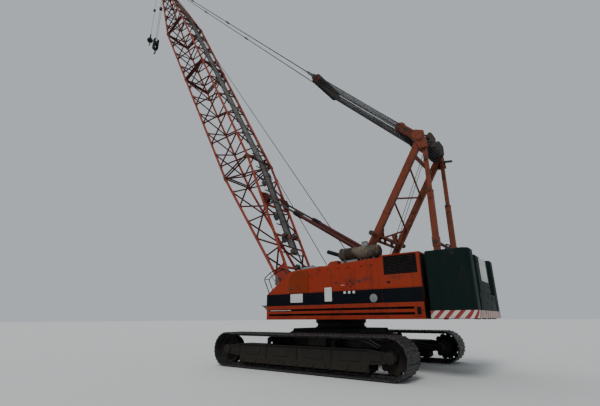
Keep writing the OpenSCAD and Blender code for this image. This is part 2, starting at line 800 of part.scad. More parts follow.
module on_boom() {
    translate([foot_x, 0, foot_z]) rotate([0, -boom_angle, 0]) children();
}

// Rise of the foot section's upper face, and its height where the backstops meet it
base_slope = (boom_size - foot_depth) / 2 / base_length;
stop_face = foot_depth / 2 + base_slope * stop_reach;
module boom_base() {
    start = 420;
    depth_at = foot_depth + 2 * base_slope * start;
    web_depth = foot_depth + 2 * base_slope * foot_web;
    on_boom() {
        translate([start, 0, 0])
            lattice(base_length - start, boom_size, boom_size, depth_at, boom_size, 7);
        joint_lugs(base_length - 110, base_length, boom_size, boom_size);
        for (s = [-1, 1]) difference() {
            union() {
                side_plate([[0, -105], [start + 240, -depth_at / 2 - 70],
                    [start + 240, depth_at / 2 + 70], [0, 105]],
                    s * boom_half - foot_plate_half, s * boom_half + foot_plate_half);
                pin(0, s * boom_half, 0, 105, 2 * foot_plate_half);
            }
            pin(0, 0, 0, foot_pin_radius + running_gap, 3 * boom_size);
        }
        // Thin plates between the chords
        for (s = [-1, 1])
            side_plate([[start, -depth_at / 2], [foot_web, -web_depth / 2],
                [foot_web, web_depth / 2], [start, depth_at / 2]],
                s * boom_half - chord_radius / 3, s * boom_half + chord_radius / 3);
        // Two cross bars that carry the backstops' lugs
        for (x = [-330, 330])
            block(stop_reach + x - 40, stop_reach + x + 40, -boom_half, boom_half,
                stop_face + x * base_slope - 40, stop_face + x * base_slope + 40);
        for (s = [-1, 1], o = [-1, 1])
            side_plate([[stop_reach - 340, stop_face - 60], [stop_reach + 340, stop_face - 30],
                [stop_reach + 200, stop_face + 240], [stop_reach - 200, stop_face + 240]],
                s * stop_half + o * (stop_eye_half + 20) - 8, s * stop_half + o * (stop_eye_half + 20) + 8);
    }
}

module boom_insert(start, length, bays) {
    on_boom() translate([start, 0, 0]) {
        lattice(length, boom_size, boom_size, boom_size, boom_size, bays);
        joint_lugs(0, 110, boom_size, boom_size);
        joint_lugs(length - 110, length, boom_size, boom_size);
    }
}

module boom_insert_long() {
    boom_insert(base_length, insert_long, 10);
}

module boom_insert_short() {
    boom_insert(base_length + insert_long, insert_short, 7);
}

head_plate = 40;
head_length = 900;
head_sheave_pitch = 120;
aux_along = 1100;
aux_up = -700;
module boom_top() {
    lattice_length = top_length - head_length;
    head_start = boom_length - head_length;
    on_boom() {
        translate([boom_length - top_length, 0, 0]) {
            lattice(lattice_length, boom_size, head_width, boom_size, head_depth, 9);
            joint_lugs(0, 110, boom_size, boom_size);
        }
        for (s = [-1, 1])
            side_plate([[head_start - 300, -head_depth / 2 - 60], [boom_length + 200, -head_depth / 2],
                [boom_length + aux_along + 90, aux_up - 90], [boom_length + aux_along + 90, aux_up + 120],
                [boom_length + 300, head_depth / 2], [boom_length - 200, head_depth / 2 + 330],
                [boom_length - 420, head_depth / 2 + 330], [head_start - 300, head_depth / 2 + 60]],
                s * head_width / 2 - head_plate / 2, s * head_width / 2 + head_plate / 2);
        pin(boom_length, 0, 0, 70, head_width);
        pin(boom_length + aux_along, 0, aux_up, 50, head_width);
        pin(boom_length - 500, 0, head_depth / 2, 50, head_width);
    }
}

module head_sheaves() {
    on_boom() {
        for (y = [-1.5:1.5]) difference() {
            pin(boom_length, y * head_sheave_pitch, 0, head_sheave_radius, 70);
            pin(boom_length, y * head_sheave_pitch, 0, 70 + running_gap, 90);
        }
        difference() {
            pin(boom_length + aux_along, 0, aux_up, aux_sheave_radius, 70);
            pin(boom_length + aux_along, 0, aux_up, 50 + running_gap, 90);
        }
    }
}

module walkway() {
    straight = insert_long + insert_short;
    drop = atan((boom_size - head_depth) / 2 / (top_length - head_length));
    on_boom() translate([base_length, 0, boom_half]) {
        block(0, straight, -walkway_width / 2, walkway_width / 2,
            lacing_width / 2, lacing_width / 2 + 30);
        translate([straight, 0, 0]) rotate([0, drop, 0])
            block(running_gap, walkway_upper, -walkway_width / 2, walkway_width / 2,
                lacing_width / 2, lacing_width / 2 + 30);
    }
}

function boom_point(s, n) = [foot_x + s * cos(boom_angle) - n * sin(boom_angle), 0,
    foot_z + s * sin(boom_angle) + n * cos(boom_angle)];
module pendants() {
    tip = boom_point(boom_length - 310, head_depth / 2 + 240);
    for (s = [-1, 1]) {
        y_tip = s * (head_width / 2 + head_plate / 2 + 30 + running_gap);
        y_low = s * (equaliser_half + 30);
        pin(tip.x, y_tip, tip.z, 70, 60);
        pin(equaliser_x, y_low, equaliser_z, 90, 60);
        bar([equaliser_x, y_low, equaliser_z], [tip.x, y_tip, tip.z], pendant_radius, 12);
    }
}

module equaliser() {
    pin(equaliser_x, 0, equaliser_z, 110, 2 * equaliser_half);
    for (y = [-4:4])
        pin(equaliser_x, y * sheave_pitch, equaliser_z, equaliser_sheave_radius, sheave_width);
}

head_axis = boom_point(boom_length, 0);
aux_axis = boom_point(boom_length + aux_along, aux_up);
// How far the hook block's cheeks narrow at each corner
block_taper = 80;
module hook_block() {
    x = head_axis.x + head_sheave_radius + rope_radius + running_gap;
    w = block_width / 2;
    n = w - block_taper;
    for (s = [-1, 1])
        translate([x, s * head_sheave_pitch / 2, block_z])
            cylinder(h = head_axis.z - block_z, r = rope_radius, $fn = 12);
    for (s = [-1, 1]) side_plate([[x - n, block_z - block_below], [x + n, block_z - block_below],
        [x + w, block_z - block_below + 4 * block_taper], [x + w, block_z + block_above - 3 * block_taper],
        [x + n, block_z + block_above], [x - n, block_z + block_above],
        [x - w, block_z + block_above - 3 * block_taper], [x - w, block_z - block_below + 4 * block_taper]],
        (s * block_gap - block_cheek) / 2, (s * block_gap + block_cheek) / 2);
    pin(x, 0, block_z, block_sheave_radius, block_gap);
    block(x - n, x + n, -block_gap / 2, block_gap / 2, block_z - block_below, block_z - block_below + 180);
    hook(x, block_z - block_below, hook_bowl, hook_section);
}

// Hook under z: a round shank and a ring open at one side
module hook(x, z, bowl, section) {
    ring = bowl + section / 2;
    drop = 2 * section + ring;
    translate([x, 0, z - drop + ring - section / 2]) cylinder(h = drop - ring + section, r = section / 2);
    translate([x, 0, z - drop]) rotate([90, 0, 0]) rotate(90) rotate_extrude(angle = 250)
        translate([ring, 0]) circle(r = section / 2);
}

module ball_hook() {
    x = aux_axis.x + aux_sheave_radius + rope_radius + running_gap;
    translate([x, 0, ball_z]) cylinder(h = aux_axis.z - ball_z, r = rope_radius, $fn = 12);
    translate([x, 0, ball_z]) sphere(r = ball_radius);
    translate([x, 0, ball_z])
        cylinder(h = ball_radius + ball_neck, r1 = ball_hook_section + 22, r2 = 3 * rope_radius);
    hook(x, ball_z - ball_radius + 20, ball_hook_bowl, ball_hook_section);
}

stop_pin = boom_point(stop_reach, stop_face + 150);
stop_vector = stop_pin - [stop_foot.x, 0, stop_foot.y];
stop_angle = atan2(stop_vector.z, stop_vector.x);
stop_length = norm(stop_vector);
module on_stop(side) {
    translate([stop_foot.x, side * stop_half, stop_foot.y]) rotate([0, -stop_angle, 0]) children();
}

module backstop_barrel(side) {
    on_stop(side) {
        difference() {
            translate([150, 0, 0]) rotate([0, 90, 0])
                cylinder(h = stop_barrel_length - 150, r = stop_barrel_radius);
            translate([260, 0, 0]) rotate([0, 90, 0])
                cylinder(h = stop_barrel_length, r = stop_rod_radius + running_gap);
        }
        difference() {
            union() {
                pin(0, 0, 0, 90, 2 * stop_eye_half);
                block(0, 200, -stop_eye_half, stop_eye_half, -60, 60);
            }
            pin(0, 0, 0, stop_pin_radius + running_gap, 3 * stop_eye_half);
        }
    }
}

module backstop_rod(side) {
    on_stop(side) {
        translate([1500, 0, 0]) rotate([0, 90, 0]) cylinder(h = stop_length - 1550, r = stop_rod_radius);
        pin(stop_length, 0, 0, 80, 2 * stop_eye_half);
        block(stop_length - 200, stop_length, -stop_rod_radius, stop_rod_radius, -40, 40);
    }
}

color([0.16, 0.15, 0.14]) track(1);  // track_left
color([0.16, 0.15, 0.14]) track(-1);  // track_right
color([0.14, 0.13, 0.12]) track_frame(1);  // track_frame_left
color([0.14, 0.13, 0.12]) track_frame(-1);  // track_frame_right
color([0.2, 0.19, 0.18]) sprocket(1);  // sprocket_left
color([0.2, 0.19, 0.18]) sprocket(-1);  // sprocket_right
color([0.2, 0.19, 0.18]) idler(1);  // idler_left
color([0.2, 0.19, 0.18]) idler(-1);  // idler_right
color([0.2, 0.19, 0.18]) rollers(1);  // rollers_left
color([0.2, 0.19, 0.18]) rollers(-1);  // rollers_right
color([0.15, 0.14, 0.13]) travel_drive(1);  // travel_drive_left
color([0.15, 0.14, 0.13]) travel_drive(-1);  // travel_drive_right
color([0.15, 0.14, 0.13]) carbody();
color([0.25, 0.23, 0.2]) swing_ring();
color([0.13, 0.13, 0.13]) deck_frame();
color([0.78, 0.22, 0.08]) side_rail(1);  // side_rail_left
color([0.78, 0.22, 0.08]) side_rail(-1);  // side_rail_right
color([0.78, 0.22, 0.08]) house_left();
color([0.78, 0.22, 0.08]) house_right();
color([0.78, 0.22, 0.08]) engine_hood();
color([0.3, 0.3, 0.3]) engine_block();
color([0.04, 0.09, 0.08]) counterweight_side(1);  // counterweight_left
color([0.04, 0.09, 0.08]) counterweight_side(-1);  // counterweight_right
color([0.04, 0.09, 0.08]) counterweight_middle();
color([0.8, 0.8, 0.78]) sign_plate();
color([0.5, 0.42, 0.32]) muffler();
color([0.25, 0.25, 0.25]) winch_drums();
color([0.78, 0.22, 0.08]) cab_shell();
color([0.1, 0.1, 0.1]) cab_seat();
color([0.78, 0.22, 0.08]) cab_door();
color([0.62, 0.25, 0.15]) gantry_front_legs();
color([0.62, 0.25, 0.15]) gantry_rear_posts();
color([0.62, 0.25, 0.15]) gantry_head();
color([0.2, 0.2, 0.2]) luffing_sheaves();
color([0.62, 0.25, 0.15]) luffing_bail();
color([0.62, 0.25, 0.15]) backstop_barrel(1);  // backstop_barrel_left
color([0.62, 0.25, 0.15]) backstop_barrel(-1);  // backstop_barrel_right
color([0.2, 0.2, 0.2]) backstop_rod(1);  // backstop_rod_left
color([0.2, 0.2, 0.2]) backstop_rod(-1);  // backstop_rod_right
color([0.8, 0.26, 0.14]) boom_base();
color([0.8, 0.26, 0.14]) boom_insert_long();
color([0.8, 0.26, 0.14]) boom_insert_short();
color([0.8, 0.26, 0.14]) boom_top();
color([0.2, 0.2, 0.2]) head_sheaves();
color([0.55, 0.57, 0.58]) walkway();
color([0.2, 0.2, 0.2]) pendants();
color([0.2, 0.16, 0.15]) equaliser();
color([0.15, 0.15, 0.15]) hook_block();
color([0.15, 0.15, 0.15]) ball_hook();
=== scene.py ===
from math import atan, atan2, copysign, cos, degrees, exp, pi, radians, sin, tan

import bmesh
import bpy
from mathutils import Matrix, Vector


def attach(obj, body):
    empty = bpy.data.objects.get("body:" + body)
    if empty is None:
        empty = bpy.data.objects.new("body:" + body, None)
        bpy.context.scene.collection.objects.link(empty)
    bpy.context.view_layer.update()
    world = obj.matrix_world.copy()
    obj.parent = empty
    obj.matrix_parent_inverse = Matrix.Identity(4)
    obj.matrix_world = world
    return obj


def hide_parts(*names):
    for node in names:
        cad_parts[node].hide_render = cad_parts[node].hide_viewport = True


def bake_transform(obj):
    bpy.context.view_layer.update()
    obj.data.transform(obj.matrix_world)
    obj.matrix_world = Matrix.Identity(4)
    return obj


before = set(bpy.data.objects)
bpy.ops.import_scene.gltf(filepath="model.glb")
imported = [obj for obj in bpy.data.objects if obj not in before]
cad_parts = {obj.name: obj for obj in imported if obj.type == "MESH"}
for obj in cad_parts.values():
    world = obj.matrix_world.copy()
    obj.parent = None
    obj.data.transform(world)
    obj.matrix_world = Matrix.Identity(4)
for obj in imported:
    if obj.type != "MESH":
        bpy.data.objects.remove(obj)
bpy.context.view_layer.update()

# Places of an outline's (u, v) and its thickness w for each axis
PLACE = {"x": lambda u, v, w: (w, u, v), "y": lambda u, v, w: (u, w, v), "z": lambda u, v, w: (u, v, w)}
BOTH = (-1, 1)
SIDES = ((1, "left"), (-1, "right"))
MERGE = 1e-5


class Mesh:
    """Collects faces and makes one object of them."""

    def __init__(self):
        self.verts, self.faces, self.mats = [], [], []

    def add(self, verts, faces, mat=0):
        base = len(self.verts)
        self.verts += [tuple(v) for v in verts]
        self.faces += [[base + i for i in face] for face in faces]
        self.mats += [mat] * len(faces)

    def moved(self, other, matrix):
        base = len(self.verts)
        self.verts += [tuple(matrix @ Vector(v)) for v in other.verts]
        self.faces += [[base + i for i in face] for face in other.faces]
        self.mats += other.mats

    def prism(self, points, a, b, axis="y", mat=0, c=0.0, at=(0, 0, 0)):
        """Outline (u, v) given thickness from a to b along an axis, its rims chamfered by c."""
        a, b = sorted((a, b))
        if sum(p[0] * q[1] - q[0] * p[1] for p, q in zip(points, points[1:] + points[:1])) < 0:
            points = points[::-1]
        rings = [(a, points), (b, points)]
        if c:
            inner = inset(points, c)
            rings = [(a, inner), (a + c, points), (b - c, points), (b, inner)]
        n, last = len(points), (len(rings) - 1) * len(points)
        faces = [list(range(n))[::-1], list(range(last, last + n))]
        for k in range(0, last, n):
            faces += [[k + i, k + (i + 1) % n, k + n + (i + 1) % n, k + n + i] for i in range(n)]
        if axis == "y":
            faces = [face[::-1] for face in faces]
        self.add([Vector(PLACE[axis](*p, w)) + Vector(at) for w, ring in rings for p in ring], faces, mat)

    def plate(self, points, y, half, mat=0, c=0.004):
        """Outline (x, z) with half its thickness on each side of y."""
        self.prism(points, y - half, y + half, "y", mat, c)

    def panel(self, points, y, thick, mat=0, c=0.002, under=0.0):
        """Outline (x, z) that stands out from the side at y, and reaches under it."""
        self.prism(points, y - copysign(under, y), y + copysign(thick, y), "y", mat, c)

    def block(self, x0, x1, y0, y1, z0, z1, mat=0, c=0.004):
        x0, x1, y0, y1, z0, z1 = *sorted((x0, x1)), *sorted((y0, y1)), *sorted((z0, z1))
        c = min(c, (x1 - x0) / 3, (y1 - y0) / 3, (z1 - z0) / 3)
        corners = rect(x0, x1, y0, y1)
        if c > 0:
            corners = [(x0 + c, y0), (x1 - c, y0), (x1, y0 + c), (x1, y1 - c),
                       (x1 - c, y1), (x0 + c, y1), (x0, y1 - c), (x0, y0 + c)]
        self.prism(corners, z0, z1, "z", mat, c)

    def box(self, x, y, z, dx, dy, dz, mat=0, c=0.004):
        """Block round a centre, given as half sizes."""
        self.block(x - dx, x + dx, y - dy, y + dy, z - dz, z + dz, mat, c)

    def beam(self, p, q, width, depth, mat=0, up=(0, 1, 0), c=0.006):
        """Square bar from p to q, width across up's side and depth the other way."""
        p, q = Vector(p), Vector(q)
        part = Mesh()
        part.block(-width / 2, width / 2, -depth / 2, depth / 2, 0, (q - p).length, mat, c)
        self.moved(part, frame_along(p, q, up))

    def tube(self, points, r, sides=10, mat=0, caps=True, radii=None, closed=False):
        pts = [Vector(p) for p in points]
        n = len(pts)
        radii = radii or [r] * n
        side, verts = None, []
        for i in range(n):
            a = pts[i - 1] if (i or closed) else pts[0]
            b = pts[(i + 1) % n] if (i < n - 1 or closed) else pts[-1]
            way = (b - a).normalized()
            side = side or way.orthogonal().normalized()
            side = (side - way * side.dot(way)).normalized()
            other = way.cross(side)
            for k in range(sides):
                a = 2 * pi * k / sides
                verts.append(pts[i] + radii[i] * (cos(a) * side + sin(a) * other))
        faces = []
        for i in range(n if closed else n - 1):
            a, b = i * sides, (i + 1) % n * sides
            faces += [[a + k, a + (k + 1) % sides, b + (k + 1) % sides, b + k] for k in range(sides)]
        if caps and not closed:
            faces += [list(range(sides))[::-1], list(range((n - 1) * sides, n * sides))]
        self.add(verts, faces, mat)

    def pin(self, x, y, z, half, r, sides=10, mat=0):
        """Round bar across Y."""
        self.tube([(x, y - half, z), (x, y + half, z)], r, sides, mat)

    def lathe(self, profile, centre, axis="y", sides=32, mat=0, closed=True):
        """Profile of (radius, place along the axis) turned round the axis through centre."""
        verts, faces, n = [], [], len(profile)
        for k in range(sides):
            a = 2 * pi * k / sides
            verts += [Vector(PLACE[axis](r * cos(a), r * sin(a), t)) + Vector(centre) for r, t in profile]
        for i in range(n if closed else n - 1):
            j = (i + 1) % n
            if profile[i][0] or profile[j][0]:
                faces += [[k * n + i, k * n + j, (k + 1) % sides * n + j, (k + 1) % sides * n + i]
                          for k in range(sides)]
        self.add(verts, faces, mat)

    def disc(self, profile, centre, axis="y", sides=16, mat=0):
        """Turned solid whose profile is closed to the axis at both ends."""
        self.lathe([(0, profile[0][1]), *profile, (0, profile[-1][1])], centre, axis, sides, mat, False)

    def ring(self, r0, r1, t0, t1, centre, axis="y", sides=20, mat=0):
        """Turned ring of rectangular section."""
        self.lathe([(r0, t0), (r1, t0), (r1, t1), (r0, t1)], centre, axis, sides, mat)

    def roller(self, x, y, z, bore, rim, neck, mat, sides=18):
        """Grooved roller across Y, its rim and neck as radius and half width."""
        half = [(bore, rim[1]), rim, neck]
        self.lathe([(r, -t) for r, t in half] + half[::-1], (x, y, z), "y", sides, mat)

    def bolt(self, x, y, z, way, r, h, mat=0):
        """Hexagon head, its height h along the signed axis such as '+z'; 1 or -1 stands for Y."""
        way = {1: "+y", -1: "-y"}.get(way, way)
        self.prism(circle(r, 6), 0, h if way[0] == "+" else -h, way[1], mat, h * 0.2, (x, y, z))

    def bolts(self, x, y, z, way, radius, count, r, h, mat=0):
        """Circle of bolts on a face across Y."""
        for u, v in circle(radius, count):
            self.bolt(x + u, y, z + v, way, r, h, mat)

    def place(self, matrix):
        self.verts = [tuple(matrix @ Vector(v)) for v in self.verts]
        return self

    def make(self, name, body, materials, slot=None, replaces=(), auto=35, blend=None):
        mesh = bpy.data.meshes.new(name)
        mesh.from_pydata(self.verts, [], self.faces)
        mesh.polygons.foreach_set("material_index", self.mats)
        obj = bpy.data.objects.new(name, mesh)
        bpy.context.scene.collection.objects.link(obj)
        tidy = bmesh.new()
        tidy.from_mesh(mesh)
        bmesh.ops.remove_doubles(tidy, verts=tidy.verts, dist=MERGE)
        bmesh.ops.delete(tidy, geom=[v for v in tidy.verts if not v.link_faces], context="VERTS")
        bmesh.ops.recalc_face_normals(tidy, faces=tidy.faces)
        for face in tidy.faces:
            face.smooth = True
        for edge in tidy.edges:
            if len(edge.link_faces) == 2:
                edge.smooth = edge.calc_face_angle(0) < radians(auto)
        tidy.to_mesh(mesh)
        tidy.free()
        for material in materials:
            mesh.materials.append(material)
        if blend:
            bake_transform(obj)
        else:
            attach(obj, body)
        if replaces:
            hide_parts(*replaces)
        return obj


def inset(points, c):
    """Outline moved inwards by c; points run anticlockwise."""
    n, result = len(points), []
    for i in range(n):
        a, b, d = Vector(points[i - 1]), Vector(points[i]), Vector(points[(i + 1) % n])
        u, v = (b - a).normalized(), (d - b).normalized()
        total = Vector((-u.y, u.x)) + Vector((-v.y, v.x))
        result.append(tuple(b + total * (2 * c / max(total.length_squared, 0.3))))
    return result


def frame_along(p, q, up=(0, 1, 0)):
    """Matrix whose Z runs from p to q, its origin at p and its X close to up."""
    z = (q - p).normalized()
    x = Vector(up) - z * z.dot(Vector(up))
    x = x.normalized() if x.length > 1e-4 else z.orthogonal().normalized()
    m = Matrix((x, z.cross(x), z)).transposed().to_4x4()
    m.translation = p
    return m


def shift(*v):
    return Matrix.Translation(v)


def lean(angle):
    """Turn about Y that raises the X axis by an angle."""
    return Matrix.Rotation(-angle, 4, "Y")


def circle(r, n):
    return [(r * cos(2 * pi * k / n), r * sin(2 * pi * k / n)) for k in range(n)]


def arc(cx, cz, r, a0, a1, n):
    return [(cx + r * cos(radians(a0 + (a1 - a0) * k / n)),
             cz + r * sin(radians(a0 + (a1 - a0) * k / n))) for k in range(n + 1)]


def rounded(u0, u1, v0, v1, r, n=4):
    return (arc(u1 - r, v1 - r, r, 0, 90, n) + arc(u0 + r, v1 - r, r, 90, 180, n)
            + arc(u0 + r, v0 + r, r, 180, 270, n) + arc(u1 - r, v0 + r, r, 270, 360, n))


def rect(u0, u1, v0, v1):
    return [(u0, v0), (u1, v0), (u1, v1), (u0, v1)]


def taper(u, v0, v1, low, high):
    """Upright outline round u, as half widths at v0 and v1."""
    return [(u - low, v0), (u + low, v0), (u + high, v1), (u - high, v1)]


def pad(u, v, du, dv, r):
    """Rounded outline round a centre."""
    return rounded(u - du, u + du, v - dv, v + dv, r)


def fillet(points, radii, n=5):
    """Closed outline with each corner rounded; a radius of 0 keeps the corner."""
    result, count = [], len(points)
    for i in range(count):
        r = radii[i] if isinstance(radii, (list, tuple)) else radii
        b = Vector(points[i])
        if not r:
            result.append(tuple(b))
            continue
        u = (Vector(points[i - 1]) - b).normalized()
        v = (Vector(points[(i + 1) % count]) - b).normalized()
        half = u.angle(v) / 2
        centre = b + (u + v).normalized() * (r / sin(half))
        p, q = b + u * (r / tan(half)) - centre, b + v * (r / tan(half)) - centre
        result += [tuple(centre + p.lerp(q, k / n).normalized() * r) for k in range(n + 1)]
    return result


def lug_plate(part, centre, axis, half, outer, inner, mat=0):
    """Plate with a bore: an outer and an inner outline round the same centre."""
    n, m = len(outer), len(inner)
    size = n + m
    verts = [Vector(PLACE[axis](*p, w)) + Vector(centre) for w in (-half, half) for p in outer + inner]
    faces = [[i, (i + 1) % n, size + (i + 1) % n, size + i] for i in range(n)]
    for i in range(m):
        a, b = n + i, n + (i + 1) % m
        faces.append([b, a, size + a, size + b])

    def turn(point):
        return atan2(point[1], point[0]) % (2 * pi)

    order_out = sorted(range(n), key=lambda i: turn(outer[i]))
    order_in = sorted(range(m), key=lambda i: turn(inner[i]))
    for base in (0, size):
        i = j = 0
        while i < n or j < m:
            a, b = order_out[i % n], n + order_in[j % m]
            far_out, far_in = order_out[(i + 1) % n], order_in[(j + 1) % m]
            next_out = turn(outer[far_out]) + (2 * pi if i + 1 >= n else 0)
            next_in = turn(inner[far_in]) + (2 * pi if j + 1 >= m else 0)
            if j >= m or (i < n and next_out <= next_in):
                faces.append([base + a, base + far_out, base + b])
                i += 1
            else:
                faces.append([base + a, base + n + far_in, base + b])
                j += 1
    part.add(verts, faces, mat)


class Nodes:
    """A material's node tree, with short names for what all materials use."""

    def __init__(self, name):
        self.material = bpy.data.materials.new(name)
        self.material.use_nodes = True
        self.tree = self.material.node_tree
        self.tree.nodes.clear()
        self.shader = self.new("ShaderNodeBsdfPrincipled")
        self.link(self.shader.outputs[0], self.new("ShaderNodeOutputMaterial").inputs[0])
        self.coords = self.new("ShaderNodeTexCoord").outputs["Object"]

    def new(self, kind, **settings):
        node = self.tree.nodes.new(kind)
        for key, value in settings.items():
            setattr(node, key, value)
        return node

    def link(self, a, b):
        self.tree.links.new(a, b)

    def set(self, node, **values):
        """Links or sets inputs by name; an underscore stands for a space and a colour has three numbers."""
        for key, value in values.items():
            socket = node.inputs[key.replace("_", " ")]
            if hasattr(value, "is_output"):
                self.link(value, socket)
            else:
                socket.default_value = (*value, 1.0) if socket.type == "RGBA" else value
        return node

    def noise(self, scale, detail=4, rough=0.55, stretch=(1, 1, 1), shift=(0, 0, 0)):
        mapping = self.set(self.new("ShaderNodeMapping"), Vector=self.coords, Scale=stretch, Location=shift)
        node = self.new("ShaderNodeTexNoise")
        self.set(node, Vector=mapping.outputs[0], Scale=scale, Detail=detail, Roughness=rough)
        return node.outputs["Fac"]

    def ramp(self, value, low, high):
        node = self.new("ShaderNodeMapRange", interpolation_type="SMOOTHSTEP")
        return self.set(node, Value=value, From_Min=low, From_Max=high).outputs[0]

    def math(self, kind, a, b):
        node = self.new("ShaderNodeMath", operation=kind)
        for socket, value in zip(node.inputs, (a, b)):
            if hasattr(value, "is_output"):
                self.link(value, socket)
            else:
                socket.default_value = value
        return node.outputs[0]

    def mul(self, a, b):
        return self.math("MULTIPLY", a, b)

    def plus(self, a, b):
        return self.math("ADD", a, b)

    def mix(self, amount, a, b):
        node = self.new("ShaderNodeMix", data_type="RGBA")
        return self.set(node, Factor=amount, A=a, B=b).outputs["Result"]

    def along(self, axis):
        return self.set(self.new("ShaderNodeSeparateXYZ"), Vector=self.coords).outputs[axis]

    def edges(self, radius):
        """How far a point lies on an edge, from 0 on a flat face."""
        bevel = self.set(self.new("ShaderNodeBevel", samples=6), Radius=radius)
        dot = self.new("ShaderNodeVectorMath", operation="DOT_PRODUCT")
        self.link(bevel.outputs[0], dot.inputs[0])
        self.link(self.new("ShaderNodeNewGeometry").outputs["Normal"], dot.inputs[1])
        return self.math("SUBTRACT", 1.0, dot.outputs["Value"])

    def bump(self, value, strength, distance=0.004, radius=0.0):
        node = self.set(self.new("ShaderNodeBump"), Strength=strength, Distance=distance, Height=value)
        if radius:
            bevel = self.set(self.new("ShaderNodeBevel", samples=4), Radius=radius)
            self.link(bevel.outputs[0], node.inputs["Normal"])
        self.link(node.outputs[0], self.shader.inputs["Normal"])

    def done(self, tone, roughness, **others):
        self.set(self.shader, Base_Color=tone, Roughness=roughness, **others)
        return self.material


RUST = (0.105, 0.036, 0.014)
MUD = (0.022, 0.018, 0.013)
PRIMER = (0.16, 0.1, 0.08)
SOOT = (0.018, 0.017, 0.016)


def shade(colour, factor, lift=0.0):
    return tuple(min(1, c * factor + lift) for c in colour)


def paint(name, colour, faded, dirt, rust, wear, rough, edge=0.012, gloss=0.4, mud=0.0):
    """Old machine paint: faded patches, rain streaks, grime, rust at chips and edges, mud low down."""
    n = Nodes(name)
    fine = n.noise(9.0, 5, 0.65)
    tone = n.mix(n.mul(n.ramp(n.noise(0.55, 5), 0.35, 0.7), 0.7), colour, faded)
    streaks = n.ramp(n.noise(1.0, 5, 0.6, (9, 9, 0.5), (3, 1, 2)), 0.48, 0.78)
    tone = n.mix(n.mul(streaks, dirt * 0.75), tone, shade(colour, 0.32))
    grime = n.ramp(n.noise(2.3, 6, 0.62, (1, 1, 1.3), (9, 4, 1)), 0.5, 0.74)
    tone = n.mix(n.mul(grime, dirt * 0.8), tone, SOOT)
    chips = n.ramp(n.noise(26.0, 4, 0.6, (1, 1, 1), (5, 5, 5)), 0.7 - 0.05 * wear, 0.73)
    corrosion = n.ramp(n.noise(3.4, 7, 0.7, (1, 1, 0.55), (2, 7, 3)), 0.6, 0.72)
    rusty = n.mul(n.math("MAXIMUM", chips, n.mul(corrosion, 0.85)), rust)
    if edge:
        rim = n.mul(n.ramp(n.edges(edge), 0.02, 0.22), n.ramp(fine, 0.4, 0.62))
        rusty = n.math("MAXIMUM", rusty, n.mul(rim, wear))
    tone = n.mix(rusty, tone, n.mix(n.noise(15.0, 4), RUST, PRIMER))
    roughness = n.plus(rough, n.mul(n.math("MAXIMUM", rusty, grime), 0.3))
    if mud:
        level = n.plus(n.along("Z"), n.mul(fine, 0.9))
        splash = n.mul(n.ramp(n.math("SUBTRACT", 1.45, level), 0.0, 0.9), mud)
        tone = n.mix(splash, tone, n.mix(fine, MUD, (0.045, 0.038, 0.029)))
        roughness = n.plus(roughness, n.mul(splash, 0.25))
    n.bump(n.plus(n.mul(fine, 0.35), n.mul(rusty, -0.6)), 0.35, 0.003, edge)
    return n.done(tone, roughness, Specular_IOR_Level=gloss)


def metal(name, colour, rust=0.4, rough=0.45, metallic=0.8, grain=30.0, edge=0.0):
    """Bare or greased steel with rust in patches."""
    n = Nodes(name)
    fine = n.noise(grain, 5, 0.6)
    broad = n.ramp(n.noise(1.7, 6, 0.65), 0.42, 0.66)
    tone = n.mix(fine, colour, shade(colour, 1.7, 0.01))
    tone = n.mix(n.mul(broad, rust), tone, n.mix(fine, RUST, PRIMER))
    n.bump(fine, 0.3, 0.002, edge)
    return n.done(tone, n.plus(rough, n.mul(broad, 0.3)), Metallic=metallic)


def plain(name, colour, rough=0.6, grain=60.0, strength=0.15, specular=0.5):
    """Rubber, plastic and cloth: fine grain with a little dust."""
    n = Nodes(name)
    fine = n.noise(grain, 4, 0.6)
    dust = n.ramp(n.noise(2.0, 5), 0.5, 0.75)
    n.bump(fine, strength, 0.001)
    return n.done(n.mix(n.mul(dust, 0.35), colour, shade(colour, 0.6, 0.06)),
                  n.plus(rough, n.mul(fine, 0.15)), Specular_IOR_Level=specular)


def glass(name, tint):
    n = Nodes(name)
    smear = n.ramp(n.noise(1.6, 5, 0.6, (3, 3, 1)), 0.45, 0.8)
    return n.done(n.mix(n.mul(smear, 0.4), tint, (0.32, 0.33, 0.32)), n.plus(0.06, n.mul(smear, 0.25)),
                  Transmission_Weight=0.45, IOR=1.3, Specular_IOR_Level=0.8)


def lagging(name):
    """Sooty wrap of an exhaust: pale and dark blotches with a seam at each turn."""
    n = Nodes(name)
    fine = n.noise(24.0, 5, 0.6)
    blotch = n.ramp(n.noise(2.4, 6, 0.6, (1, 0.6, 0.6), (4, 1, 7)), 0.42, 0.58)
    tone = n.mix(blotch, (0.125, 0.105, 0.078), (0.028, 0.021, 0.015))
    tone = n.mix(n.mul(n.ramp(n.noise(9.0, 5), 0.5, 0.7), 0.5), tone, RUST)
    turns = n.math("FRACT", n.math("DIVIDE", n.plus(n.along("X"), 20.0), 0.13), 0.0)
    seam = n.math("LESS_THAN", turns, 0.09)
    n.bump(n.math("SUBTRACT", n.mul(fine, 0.5), seam), 0.5, 0.004)
    tone = n.mix(n.mul(seam, 0.6), tone, SOOT)
    return n.done(tone, n.plus(0.78, n.mul(fine, 0.15)), Specular_IOR_Level=0.2)


